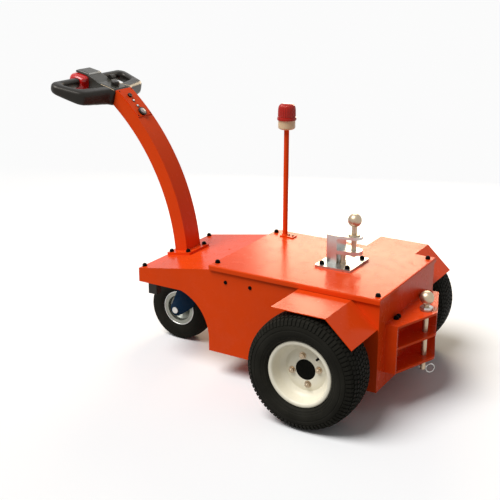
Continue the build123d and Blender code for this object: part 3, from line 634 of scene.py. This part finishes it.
class TUG_OT_drive_tyres(bpy.types.Operator):
    """Tyres with banded sidewalls, shoulder lugs and staggered blocks, in place of the plain solids"""

    bl_idname = "tug.drive_tyres"
    bl_label = "Drive tyres"

    def execute(self, context):
        tread = context.scene.tug_tread
        depth = tread.depth / MM
        half = tyre_half_profile(depth)
        section = half + [(radius, -y) for radius, y in reversed(half[:-1])]
        for side, name in SIDES:
            bm = spun(section, tread.pitches * SECTORS, closed=True)
            blocks = [face for face in bm.faces if in_block(face, tread.pitches)]
            bmesh.ops.inset_region(
                bm, faces=blocks, use_boundary=True, use_even_offset=True, thickness=BLOCK_INSET,
                depth=depth - BLOCK_SHORT,
            )
            finish_piece(
                f"drive_tyre_treaded_{name}", placed(bm, on_wheel(side)), "worn_rubber",
                sharp=25, body=f"drive_wheel_{name}", replaced=[f"drive_tyre_{name}"],
            )
        return {"FINISHED"}


RIM_SECTION = (
    (118.0, -59.5), (118.0, -65.5), (116.5, -66.5), (105.0, -66.5), (101.0, -63.5), (100.5, 25.0),
    (98.0, 26.5), (90.0, 20.0), (80.0, 12.6), (76.0, 11.6), (72.0, 12.6), (37.0, 13.0), (37.0, 18.6),
    (38.0, 19.3), (64.0, 19.3), (67.0, 18.6), (70.0, 17.6), (73.5, 17.4), (74.8, 16.5), (77.0, 16.6),
    (78.6, 17.9), (84.0, 20.6), (91.0, 26.0), (95.5, 32.0), (97.5, 38.0), (98.4, 45.0), (100.8, 49.0),
    (101.2, 56.0), (102.4, 61.0), (104.6, 64.8), (108.0, 66.4), (112.0, 66.5), (115.6, 66.0), (117.6, 64.4),
    (118.0, 62.5), (118.0, 59.5), (104.0, 59.5), (104.0, -59.5),
)
# Share of the nut's radius, and height
WASHER_SECTION = ((0, 0), (1.3, 0), (1.36, 0.6), (1.3, 1.8), (0, 1.8))
WASHER_THICK = 1.8
NUT_HEIGHT, NUT_CHAMFER = 8.5, 1.2
STUD_SECTION = ((0, 0), (4.2, 0), (4.2, 12.2), (3.4, 13.0), (0, 13.2))
NUTS = 4
BOLT_CIRCLE = 51.0
NUT_SEAT = 19.3
NUT_TURN = 12.0
NUT_TWIST, NUT_TWIST_STEP = 0.4, 0.5
VALVE_SECTION = (
    (0, 0), (7.5, 0), (7.5, 2.5), (5.2, 5), (4.6, 17), (4.0, 19), (4.0, 25), (3.2, 26), (0, 26.2),
)
VALVE_PLACE = (96, 0, 30)
VALVE_TURN = math.radians(-133)
VALVE_LEAN = math.radians(-38)


class TUG_OT_drive_rims(bpy.types.Operator):
    """Rims with a rolled lip, stepped barrel and raised bolting face, in place of the plain solids"""

    bl_idname = "tug.drive_rims"
    bl_label = "Drive rims"

    def execute(self, context):
        for side, name in SIDES:
            bm = spun(RIM_SECTION, 96, closed=True)
            finish_piece(
                f"drive_rim_dished_{name}", placed(bm, on_wheel(side)), "wheel_paint",
                sharp=40, body=f"drive_wheel_{name}", replaced=[f"drive_rim_{name}"],
            )
        return {"FINISHED"}


def wheel_nut(radius):
    """A washer, a hexagon nut and the end of its stud."""
    washer = spun([(radius * share, height) for share, height in WASHER_SECTION], 28)
    nut = hexagon(radius, NUT_HEIGHT, NUT_CHAMFER)
    stud = spun(STUD_SECTION, 18)
    return gather([(washer, AS_DRAWN), (nut, upright(0, 0, WASHER_THICK)), (stud, AS_DRAWN)])


class TUG_OT_wheel_nuts(bpy.types.Operator):
    """Four wheel nuts and a valve on each drive wheel"""

    bl_idname = "tug.wheel_nuts"
    bl_label = "Wheel nuts and valves"

    def execute(self, context):
        radius = context.scene.tug_fasteners.nut_radius / MM
        for side, name in SIDES:
            parts = []
            for index in range(NUTS):
                turn = math.radians(NUT_TURN + 360 / NUTS * index)
                spot = upright(BOLT_CIRCLE * math.cos(turn), BOLT_CIRCLE * math.sin(turn), NUT_SEAT)
                twist = Matrix.Rotation(NUT_TWIST + NUT_TWIST_STEP * index, 4, "Z")
                parts.append((wheel_nut(radius), on_wheel(side) @ spot @ twist))
            body = f"drive_wheel_{name}"
            nuts = gather(parts)
            finish_piece(f"wheel_nuts_{name}", nuts, "pin_steel", sharp=30, body=body)
            lean = Matrix.Rotation(VALVE_LEAN, 4, "Y")
            place = on_wheel(side) @ Matrix.Rotation(VALVE_TURN, 4, "Z") @ upright(*VALVE_PLACE) @ lean
            stem = placed(spun(VALVE_SECTION, 20), place)
            finish_piece(f"valve_stem_{name}", stem, "black_cap", sharp=35, body=body)
        return {"FINISHED"}


# Fasteners and welds

# Radius and height of a domed cap's section, as shares of the cap's own
CAP_SECTION = [(0, 0), (1.08, 0), (1.08, 0.12), (1, 0.2)] + [
    (math.cos(turn * math.pi / 12), 0.42 + 0.58 * math.sin(turn * math.pi / 12)) for turn in range(7)
]
LID_CAPS = ((471, 217), (471, -217), (-168, 225), (-168, -225))
NOSE_CAPS = ((799, 224), (799, -224))
FLANGE_CAPS = ((-40, 56), (40, 56), (-40, -56), (40, -56))
HITCH_CAPS = ((-198, 129), (-198, 109), (-198, -109), (-198, -129))
COUPLING_INSET_X, COUPLING_INSET_Y = 19, 22
SIDE_SCREWS = ((418, 380), (315, 379))
SIDE_SCREW_SIZE = (6.8, 4.0)
NOSE_SCREWS = ((578, 176), (572, -24))
NOSE_SCREW_SIZE = (4.0, 1.6)
REAR_SCREWS = ((115, 426), (-115, 426))
REAR_SCREW_SIZE = (3.6, 2.4)
# Black blocks that fill the gaps between the side panels and the lid's lip: painted shade for those gaps
LIP_GAP_SHADE_SIZE, LIP_GAP_SHADE_BEVEL = (5, 5.6, 14), 1.5
LIP_GAP_SHADE_AHEAD, LIP_GAP_SHADE_OUT, LIP_GAP_SHADE_DOWN = 0.5, 3, 9.5
TOP_WELD_HALF = 192
CHEEK_WELD_FOOT, CHEEK_WELD_DROP = 158, 9
SHELF_WELD_HALF = 184
SHELF_WELD_LEVELS = (161.5, 249.5)
ARM_REAR, ARM_FRONT, ARM_HALF = -29, 27, 47
POLE_WELD = ((9.5, 0), (13.4, 0), (13.0, 1.6), (11.8, 3.0), (10.2, 3.8), (9.5, 3.8))


def domed_cap(radius, height):
    """A domed cap standing on its washer."""
    return spun([(radius * across, height * up) for across, up in CAP_SECTION], 24)


def black_caps(name, size, places):
    """Black caps or screws of one size on the chassis, as one piece."""
    caps = gather([(domed_cap(*size), place) for place in places])
    finish_piece(name, caps, "black_cap", sharp=40)


class TUG_OT_domed_caps(bpy.types.Operator):
    """Domed caps on lid, nose, arm flange, coupling plate and rear hitch; the body's screws, and black blocks
    in the gaps beside the lid's lip as painted shade
    """

    bl_idname = "tug.domed_caps"
    bl_label = "Domed caps"

    def execute(self, context):
        sizes = context.scene.tug_fasteners
        radius, height = sizes.cap_radius / MM, sizes.cap_height / MM
        groups = {
            "lid_caps": [upright(x, y, DECK_Z) for x, y in LID_CAPS],
            "nose_caps": [on_nose(x, y) for x, y in NOSE_CAPS],
            "flange_caps": [on_nose(FLANGE_X, 0) @ upright(x, y, FLANGE_TOP) for x, y in FLANGE_CAPS],
            "coupling_caps": [
                upright(x, y, PLATE_HIGH.z)
                for x in (PLATE_LOW.x + COUPLING_INSET_X, PLATE_HIGH.x - COUPLING_INSET_X)
                for y in (PLATE_LOW.y + COUPLING_INSET_Y, PLATE_HIGH.y - COUPLING_INSET_Y)
            ],
            "hitch_caps": [upright(x, y, SHELF_TOP) for x, y in HITCH_CAPS],
        }
        for name, places in groups.items():
            black_caps(name, (radius, height), places)
        for side, name in SIDES:
            places = [facing_y(x, side * SIDE_Y, z, side) for x, z in SIDE_SCREWS]
            black_caps(f"side_screws_{name}", SIDE_SCREW_SIZE, places)
        small = [(domed_cap(*NOSE_SCREW_SIZE), on_nose(x, y)) for x, y in NOSE_SCREWS]
        small += [(domed_cap(*REAR_SCREW_SIZE), facing_rear(REAR_X, y, z)) for y, z in REAR_SCREWS]
        finish_piece("cover_screws", gather(small), "body_paint", sharp=40)
        # Painted shade: black blocks in the gaps beside the lid's lip, where shade falls
        x, z = LID_FRONT + LIP_GAP_SHADE_AHEAD, DECK_Z - LIP_GAP_SHADE_DOWN
        gap_shade_blocks = gather([
            (slab(LIP_GAP_SHADE_SIZE, LIP_GAP_SHADE_BEVEL), upright(x, side * (SIDE_Y + LIP_GAP_SHADE_OUT), z))
            for side, _ in SIDES
        ])
        finish_piece("lip_plugs", gap_shade_blocks, "black_cap", sharp=40)
        return {"FINISHED"}


class TUG_OT_welds(bpy.types.Operator):
    """Weld beads at the rear hitch, the foot of the arm and the foot of the beacon pole"""

    bl_idname = "tug.welds"
    bl_label = "Weld beads"

    def execute(self, context):
        bead = context.scene.tug_fasteners.bead / MM
        runs = [((REAR_X, -TOP_WELD_HALF, SHELF_TOP), (REAR_X, TOP_WELD_HALF, SHELF_TOP))]
        for side, _ in SIDES:
            edge = side * CHEEK_Y
            runs.append(((REAR_X, edge, CHEEK_WELD_FOOT), (REAR_X, edge, SHELF_TOP - CHEEK_WELD_DROP)))
        for level in SHELF_WELD_LEVELS:
            runs.append(((REAR_X, -SHELF_WELD_HALF, level), (REAR_X, SHELF_WELD_HALF, level)))
        hitch = gather([(weld_run(start, end, bead), AS_DRAWN) for start, end in runs])
        finish_piece("hitch_welds", hitch, "body_paint", sharp=60)
        runs = []
        for y, x in ((ARM_HALF, ARM_FRONT), (-ARM_HALF, ARM_REAR)):
            runs.append(((ARM_REAR, y, FLANGE_TOP), (ARM_FRONT, y, FLANGE_TOP)))
            runs.append(((x, -ARM_HALF, FLANGE_TOP), (x, ARM_HALF, FLANGE_TOP)))
        foot = gather([(weld_run(start, end, bead), on_nose(FLANGE_X, 0)) for start, end in runs])
        finish_piece("arm_foot_weld", foot, "body_paint", sharp=60)
        middle = (POLE_LOW + POLE_HIGH) / 2
        ring = placed(spun(POLE_WELD, 40, closed=True), upright(middle.x, middle.y, POLE_LOW.z))
        finish_piece("pole_foot_weld", ring, "body_paint", sharp=60)
        return {"FINISHED"}


# Castor, lid and moulded head

FORK_PLATE = (
    (801, 150), (803, 134), (796, 117), (779, 106), (763, 110), (733, 131), (694, 161), (682, 178),
    (680, 250), (696, 263), (742, 263), (753, 214), (759, 195), (782, 170),
)
FORK_PLATE_SHEET = 3.0
BUTTON_OUTLINE = (
    (146, 27), (219, 27), (229, 8), (224, -22), (198, -45), (160, -44), (141, -34), (138, -10), (141, 12),
)
BUTTON_STEPS = (
    (-72, 0.56), (-70, 0.70), (-65, 0.82), (-56, 0.92), (-42, 0.98), (-28, 1.0), (0, 1.01), (28, 1.0),
    (42, 0.98), (56, 0.92), (65, 0.82), (70, 0.70), (72, 0.56),
)
GRIP_EDGE = ((191, 202), (168, 231), (44, 190), (12, 62))
GRIP_FALL = (3.0, 9.0)
GRIP_FALL_WIDTH = 34.0
GRIP_FALL_FADE = 55.0
FORK_PLATE_EDGE = 0.8
CASTOR_LIP = ((66.5, 34.5), (67.2, 36.6), (69.0, 37.4), (70.8, 36.6), (71.5, 34.5))
MERGE_GAP = 1e-6
FLAT_ANGLE = math.radians(0.6)
LID_ROUNDING = 2.6
LID_TOP = DECK_Z - 0.05
LID_EDGE_ANGLE = math.radians(50)
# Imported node, piece laid over it, finish, voxel size in metres, rounds of smoothing
HEAD_MOULDINGS = (
    ("grip_loop", "grip_moulded", "black_moulding", 0.003, 40),
    ("head_housing", "housing_moulded", "housing_grey", 0.002, 8),
)
SMOOTHING = 0.5
FILL_PER_ROUND = 0.04


def merged_copy(name):
    """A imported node's mesh, joined up, with its flat faces whole again, in millimetres from the axle."""
    bm = bmesh.new()
    bm.from_mesh(frame["nodes"][name].data)
    bmesh.ops.remove_doubles(bm, verts=bm.verts[:], dist=MERGE_GAP)
    bmesh.ops.transform(bm, matrix=TO_AXLE, verts=bm.verts[:])
    bmesh.ops.dissolve_limit(bm, angle_limit=FLAT_ANGLE, verts=bm.verts[:], edges=bm.edges[:])
    return bm


def nearest_gap(spot, line):
    """Distance from a spot to the nearest place on a line of points."""
    gaps = []
    for here, ahead in zip(line, line[1:]):
        run = ahead - here
        share = min(max((spot - here).dot(run) / run.length_squared, 0), 1)
        gaps.append((spot - here.lerp(ahead, share)).length)
    return min(gaps)


def let_grip_fall(bm):
    """Let the grip's top fall away towards its outer edge, as the moulding does beside the neck."""
    bmesh.ops.transform(bm, matrix=on_head(0, 0, 0).inverted(), verts=bm.verts[:])
    edge = [Vector(point) for point in GRIP_EDGE]
    inner, outer = GRIP_FALL
    neck = edge[-1].y
    for vert in bm.verts:
        spot = Vector((vert.co.x, abs(vert.co.y)))
        if vert.co.z < 0 or spot.y < neck:
            continue
        share = max(1 - nearest_gap(spot, edge) / GRIP_FALL_WIDTH, 0)
        beside_neck = min((spot.y - neck) / (edge[-2].y - neck), 1)
        behind_front = min(max((edge[0].x - spot.x) / GRIP_FALL_FADE, 0), 1)
        vert.co.z -= beside_neck * behind_front * (inner + (outer - inner) * share)
    bmesh.ops.transform(bm, matrix=on_head(0, 0, 0), verts=bm.verts[:])


def cut_corners(points, times):
    """An outline with its corners cut back again and again until it runs smooth."""
    path = [Vector(point) for point in points]
    for _ in range(times):
        path = [
            spot
            for here, ahead in zip(path, path[1:] + path[:1])
            for spot in (here.lerp(ahead, 0.25), here.lerp(ahead, 0.75))
        ]
    return path


def flat_plate(points, place):
    """One flat face from points (a, b), each placed by a function of a and b."""
    bm = bmesh.new()
    bm.faces.new([bm.verts.new(place(a, b)) for a, b in points])
    return bm


def lofted(bm, steps):
    """Extrude a flat face through steps of (vector, share of its first size, centre to shrink about)."""
    lead, size = bm.faces[:], 1.0
    for index, (vector, share, centre) in enumerate(steps):
        verts, lead = pushed_out(bm, lead, keep=index == 0)
        bmesh.ops.translate(bm, verts=verts, vec=vector)
        change = share / size
        space = Matrix.Translation(-Vector(centre))
        bmesh.ops.scale(bm, vec=(change, change, change), space=space, verts=verts)
        size = share
    bmesh.ops.recalc_face_normals(bm, faces=bm.faces[:])


class TUG_OT_castor_plates(bpy.types.Operator):
    """Wide blue side plates over the castor fork, and a rolled lip on the castor rim"""

    bl_idname = "tug.castor_plates"
    bl_label = "Castor plates"

    def execute(self, context):
        low, high = node_box("castor_fork")
        plates = []
        for side, face in ((1, high.y), (-1, low.y)):
            bm = flat_plate(FORK_PLATE, lambda x, z: (x, face, z))
            lofted(bm, [((0, side * FORK_PLATE_SHEET, 0), 1.0, (0, 0, 0))])
            soften(bm, bm.edges[:], FORK_PLATE_EDGE)
            plates.append((bm, AS_DRAWN))
        plates = gather(plates)
        finish_piece("fork_plates", plates, "fork_paint", sharp=30, body="castor_swivel")
        low, high = node_box("castor_rim")
        centre = (low + high) / 2
        lips = gather([
            (spun(CASTOR_LIP, 72, closed=True), facing_y(centre.x, 0, centre.z, side)) for side, _ in SIDES
        ])
        finish_piece("castor_rim_lips", lips, "zinc_plate", sharp=50, body="castor_wheel")
        return {"FINISHED"}


class TUG_OT_soft_lid(bpy.types.Operator):
    """The lid with its top edges rounded over, in place of the sharp one"""

    bl_idname = "tug.soft_lid"
    bl_label = "Lid with soft edges"

    def execute(self, context):
        bm = merged_copy("deck_lid")
        rim = [
            edge
            for edge in bm.edges
            if len(edge.link_faces) == 2
            and all(vert.co.z > LID_TOP for vert in edge.verts)
            and edge.calc_face_angle() > LID_EDGE_ANGLE
        ]
        soften(bm, rim, LID_ROUNDING, segments=4)
        finish_piece("deck_lid_softened", bm, "body_paint", sharp=40, replaced=["deck_lid"])
        return {"FINISHED"}


class TUG_OT_moulded_head(bpy.types.Operator):
    """The grip and housing with moulded roundings, and the full red button"""

    bl_idname = "tug.moulded_head"
    bl_label = "Moulded head"

    def execute(self, context):
        for packed, name, finish, voxel, rounds in HEAD_MOULDINGS:
            bm = merged_copy(packed)
            if packed == "grip_loop":
                let_grip_fall(bm)
            piece = finish_piece(name, bm, finish, sharp=60, replaced=[packed])
            skin = piece.modifiers.new("skin", "REMESH")
            skin.mode = "VOXEL"
            skin.voxel_size = voxel
            skin.use_smooth_shade = True
            ease = piece.modifiers.new("ease", "SMOOTH")
            ease.factor = SMOOTHING
            ease.iterations = rounds
            fill = piece.modifiers.new("fill", "DISPLACE")
            fill.mid_level = 0.0
            fill.strength = rounds * FILL_PER_ROUND * MM
        outline = cut_corners(BUTTON_OUTLINE, 2)
        centre = sum(outline, Vector((0, 0))) / len(outline)
        first, least = BUTTON_STEPS[0]
        bm = flat_plate([centre + (point - centre) * least for point in outline], lambda u, w: (u, first, w))
        lofted(bm, [
            ((0, across - before, 0), share / least, (centre.x, across, centre.y))
            for (before, _), (across, share) in zip(BUTTON_STEPS, BUTTON_STEPS[1:])
        ])
        button = placed(bm, on_head(0, 0, 0))
        finish_piece(
            "belly_button_domed", button, "button_red", sharp=50, replaced=["belly_button"]
        )
        return {"FINISHED"}


# Beacon

DOME_SECTION = (
    (0, 0), (37.0, 0), (37.0, 8.5), (36.0, 10.5), (33.2, 11.0), (33.0, 13.5), (33.0, 22.0), (32.8, 31.0),
    (32.4, 40.0), (31.4, 47.0), (29.0, 53.5), (24.5, 58.6), (18.0, 61.8), (9.0, 62.8), (0, 63.0),
)
RIB_STEPS = 96
RIB_RISE = 1.4
RIB_FOOT, RIB_INNER = 12, 20
RIB_PITCH, RIB_WIDTH = 4, 2
LENS_RADIUS = 37
FOOT_SCREWS_X = (385, 400)
FOOT_SCREW_RISE = 5
FOOT_SCREW_SIZE = (4.2, 3.4)


class TUG_OT_beacon_dome(bpy.types.Operator):
    """Ribbed red dome on its collar, in place of the plain lens"""

    bl_idname = "tug.beacon_dome"
    bl_label = "Beacon dome"

    def execute(self, context):
        bm = spun(DOME_SECTION, RIB_STEPS)
        for vert in bm.verts:
            radius = math.hypot(vert.co.x, vert.co.y)
            sector = round((math.atan2(vert.co.y, vert.co.x) % math.tau) / math.tau * RIB_STEPS)
            if vert.co.z > RIB_FOOT and radius > RIB_INNER and sector % RIB_PITCH < RIB_WIDTH:
                push = (radius + RIB_RISE) / radius
                vert.co.x *= push
                vert.co.y *= push
        middle = (LENS_LOW + LENS_HIGH) / 2
        dome = placed(bm, upright(middle.x, middle.y, LENS_LOW.z))
        finish_piece("beacon_dome", dome, "beacon_red", sharp=30, replaced=["beacon_lens"])
        y, z = LENS_LOW.y + LENS_RADIUS, DECK_Z + FOOT_SCREW_RISE
        black_caps("beacon_foot_screws", FOOT_SCREW_SIZE, [upright(x, y, z) for x in FOOT_SCREWS_X])
        return {"FINISHED"}


# Head, controls and couplings

LIGHT_STRIP_SIZE, LIGHT_STRIP_BEVEL = (6.5, 74, 1.4), 0.5
LIGHT_STRIP_PLACE = (147.6, 0, 36.4)
LIGHT_STRIP_LEAN = math.radians(-56)
# Cream lines along the neck's top edges: painted highlights where the edges catch the light
NECK_HIGHLIGHT_LINE = ((76, 45.6), (38, 47.5), (1, 56.5))
NECK_HIGHLIGHT_LEVEL = 16.4
NECK_HIGHLIGHT_RADIUS = 1.0
NECK_SCREWS = ((14, 30, 18), (14, -30, 18))
NECK_SCREW_SIZE = (3.4, 1.6)
PANEL_MIDDLE = 5
LAMP_ANGLES = (46.6, 44.9)
LAMP_SIZE = (5.0, 4.4)
LAMP_BEZEL = ((4.9, 0), (6.6, 0), (6.4, 1.6), (5.2, 1.8))
GAUGE_ANGLE = 43.0
GAUGE_FACE = ((0, 8.1), (12.4, 8.1), (12.4, 8.6), (11.6, 9.0), (0, 9.3))
PANEL_SCREWS = ((42.2, -37), (42.2, 37), (50.2, -37), (50.2, 37))
PANEL_SCREW_SIZE = (2.6, 1.4)
BOLT_SPOT = (70, 3)
BOLT_WASHER = ((0, 0), (13, 0), (13, 2), (0, 2))
BOLT_HEAD = (12, 10, 1.2)
BOLT_SHANK = ((0, 12), (8.5, 12), (8.5, 36.5), (0, 36.5))
PIN_NUT = (23.5, 9, 1.4)
PIN_NUT_RISE = 6


class TUG_OT_head_trim(bpy.types.Operator):
    """Light strip, cream lines painted as highlights along the neck's top edges, and screws of the tiller head
    """

    bl_idname = "tug.head_trim"
    bl_label = "Head trim"

    def execute(self, context):
        place = on_head(*LIGHT_STRIP_PLACE) @ Matrix.Rotation(LIGHT_STRIP_LEAN, 4, "Y")
        strip = placed(slab(LIGHT_STRIP_SIZE, LIGHT_STRIP_BEVEL), place)
        finish_piece("light_strip", strip, "lamp_white", sharp=30)
        # Painted highlight: thin cream tubes along the neck's top edges
        lines = []
        for side, _ in SIDES:
            points = [(u, side * v, NECK_HIGHLIGHT_LEVEL) for u, v in NECK_HIGHLIGHT_LINE]
            lines.append((tube(points, NECK_HIGHLIGHT_RADIUS, 10), on_head(0, 0, 0)))
        finish_piece("neck_trim", gather(lines), "cream_moulding", sharp=30)
        black_caps("neck_screws", NECK_SCREW_SIZE, [on_head(*spot) for spot in NECK_SCREWS])
        return {"FINISHED"}


class TUG_OT_panel_controls(bpy.types.Operator):
    """Two lamps, the gauge's face and the screws of the control panel"""

    bl_idname = "tug.panel_controls"
    bl_label = "Panel controls"

    def execute(self, context):
        places = [on_arm_rear(angle, PANEL_MIDDLE) for angle in LAMP_ANGLES]
        lamps = gather([(domed_cap(*LAMP_SIZE), place) for place in places])
        finish_piece("panel_lamps", lamps, "lamp_white", sharp=40)
        bezels = gather([(spun(LAMP_BEZEL, 24, closed=True), place) for place in places])
        finish_piece("panel_lamp_bezels", bezels, "black_cap", sharp=40)
        face = placed(spun(GAUGE_FACE, 36), on_arm_rear(GAUGE_ANGLE, PANEL_MIDDLE))
        finish_piece("gauge_face", face, "gauge_grey", sharp=40)
        black_caps("panel_screws", PANEL_SCREW_SIZE, [on_arm_rear(*spot) for spot in PANEL_SCREWS])
        return {"FINISHED"}


class TUG_OT_coupling_bolt(bpy.types.Operator):
    """Hexagon bolt under the lower flange of the deck coupling, and the nut of the rear hitch's pin"""

    bl_idname = "tug.coupling_bolt"
    bl_label = "Coupling bolt"

    def execute(self, context):
        place = upright(*BOLT_SPOT, PLATE_HIGH.z)
        bolt = gather([
            (spun(BOLT_WASHER, 28), place),
            (hexagon(*BOLT_HEAD), place @ upright(0, 0, BOLT_WASHER[2][1])),
            (spun(BOLT_SHANK, 28), place),
        ])
        finish_piece("coupling_bolt", bolt, "pin_steel", sharp=30)
        low, high = node_box("hitch_ball_pin")
        nut = placed(hexagon(*PIN_NUT), upright((low.x + high.x) / 2, 0, SHELF_TOP + PIN_NUT_RISE))
        finish_piece("hitch_pin_nut", nut, "zinc_plate", sharp=30)
        return {"FINISHED"}


# Studio

SUN_FROM = (0.30, 0.42, 0.86)
SUN_SPREAD = 36
SOFTBOX_PLACE = (0.62, -2.3, 1.4)
SOFTBOX_AIM = (-0.45, 0.1, 0.43)
SOFTBOX_SIZE = (1.15, 1.0)
SOFTBOX_COLOUR = (1.0, 0.80, 0.54)
CAMERA_PLACE = (-1.8394, 3.0173, 1.6019)
CAMERA_AHEAD = (0.48855, -0.81291, -0.31702)
CAMERA_ROLL = 0.17
CAMERA_LENS = 69.75
CAMERA_SENSOR = 36
CAMERA_REACH = 200
FLOOR_RADIUS = 60
FLOOR_ROUGHNESS = 0.9


def background_ray(tree):
    """1 where the camera, a gloss or a clear piece looks at the surround, else 0."""
    path = tree.nodes.new("ShaderNodeLightPath").outputs
    seen = path["Is Camera Ray"]
    for label in ("Is Glossy Ray", "Is Transmission Ray"):
        seen = calculated(tree, "MAXIMUM", seen, path[label])
    return seen


def white_surround(ambient):
    """A world that shows white and lights the tug at the ambient level."""
    world = bpy.data.worlds.new("studio_surround")
    world.use_nodes = True
    tree = world.node_tree
    tree.nodes.clear()
    strength = spread(tree, background_ray(tree), 0.0, 1.0, ambient, 1.0)
    glow = node(tree, "ShaderNodeBackground", {"Color": (1, 1, 1, 1), "Strength": strength})
    node(tree, "ShaderNodeOutputWorld", {0: glow.outputs[0]})
    return world


def floor_material(colour, bounce):
    """A material that shows pale and gives back only a share of the light."""
    material = bpy.data.materials.new("floor_white")
    material.use_nodes = True
    tree = material.node_tree
    tone = spread(tree, background_ray(tree), 0.0, 1.0, bounce, 1.0)
    pale = blend_colour(tree, tone, (0, 0, 0, 1), (*colour, 1))
    feed(tree, tree.nodes["Principled BSDF"], {
        "Base Color": pale, "Roughness": FLOOR_ROUGHNESS, "Specular IOR Level": 0.0,
    })
    return material


class TUG_OT_studio(bpy.types.Operator):
    """Pale floor, white surround, soft light and the photograph's camera"""

    bl_idname = "tug.studio"
    bl_label = "Studio"

    def execute(self, context):
        scene = context.scene
        studio = scene.tug_studio
        scene.view_settings.view_transform = "Standard"
        scene.world = white_surround(studio.ambient)

        bm = bmesh.new()
        bmesh.ops.create_circle(bm, cap_ends=True, segments=64, radius=FLOOR_RADIUS)
        mesh = mesh_from("studio_floor", bm)
        mesh.materials.append(floor_material(studio.floor, studio.bounce))
        floor = linked_object("studio_floor", mesh)

        lamp = bpy.data.lights.new("key_light", "SUN")
        lamp.energy = studio.sun
        lamp.angle = math.radians(SUN_SPREAD)
        key = linked_object("key_light", lamp)
        key.rotation_euler = Vector(SUN_FROM).to_track_quat("Z", "Y").to_euler()

        box = bpy.data.lights.new("softbox", "AREA")
        box.shape = "RECTANGLE"
        box.size, box.size_y = SOFTBOX_SIZE
        box.energy = studio.softbox
        box.color = SOFTBOX_COLOUR
        soft = linked_object("softbox", box)
        soft.location = SOFTBOX_PLACE
        away = Vector(SOFTBOX_PLACE) - Vector(SOFTBOX_AIM)
        soft.rotation_euler = away.to_track_quat("Z", "Y").to_euler()
        soft.visible_camera = False

        eye = bpy.data.cameras.new("photo_camera")
        eye.lens = CAMERA_LENS
        eye.sensor_width = CAMERA_SENSOR
        eye.clip_end = CAMERA_REACH
        camera = linked_object("photo_camera", eye)
        turn = Vector(CAMERA_AHEAD).to_track_quat("-Z", "Y").to_matrix().to_4x4()
        roll = Matrix.Rotation(math.radians(CAMERA_ROLL), 4, "Z")
        camera.matrix_world = Matrix.Translation(CAMERA_PLACE) @ turn @ roll
        scene.camera = camera
        return {"FINISHED"}


PIECE_OPERATORS = (
    TUG_OT_finish_frame, TUG_OT_drive_tyres, TUG_OT_drive_rims, TUG_OT_wheel_nuts, TUG_OT_domed_caps,
    TUG_OT_welds, TUG_OT_castor_plates, TUG_OT_soft_lid, TUG_OT_beacon_dome, TUG_OT_moulded_head,
    TUG_OT_head_trim, TUG_OT_panel_controls, TUG_OT_coupling_bolt, TUG_OT_studio,
)
GROUPS = {
    "tug_finish": TugFinish,
    "tug_tread": TugTread,
    "tug_fasteners": TugFasteners,
    "tug_studio": TugStudio,
}


class TUG_PT_dressing(bpy.types.Panel):
    """Lists the tug's sizes, colours and pieces"""

    bl_idname = "TUG_PT_dressing"
    bl_label = "Tow tug"
    bl_space_type = "VIEW_3D"
    bl_region_type = "UI"
    bl_category = "Tow Tug"

    def draw(self, context):
        layout = self.layout
        for attribute, group in GROUPS.items():
            column = layout.column(align=True)
            for label in group.__annotations__:
                column.prop(getattr(context.scene, attribute), label)
        for operator in PIECE_OPERATORS:
            layout.operator(operator.bl_idname)


def register():
    """Add the property groups, operators and panel."""
    for group in GROUPS.values():
        bpy.utils.register_class(group)
    for attribute, group in GROUPS.items():
        setattr(bpy.types.Scene, attribute, bpy.props.PointerProperty(type=group))
    for operator in PIECE_OPERATORS:
        bpy.utils.register_class(operator)
    bpy.utils.register_class(TUG_PT_dressing)


def unregister():
    """Remove what register added."""
    bpy.utils.unregister_class(TUG_PT_dressing)
    for operator in reversed(PIECE_OPERATORS):
        bpy.utils.unregister_class(operator)
    for attribute, group in GROUPS.items():
        delattr(bpy.types.Scene, attribute)
        bpy.utils.unregister_class(group)


def main():
    """Dress the tug."""
    register()
    for operator in PIECE_OPERATORS:
        family, action = operator.bl_idname.split(".")
        getattr(getattr(bpy.ops, family), action)()


if __name__ == "__main__":
    main()
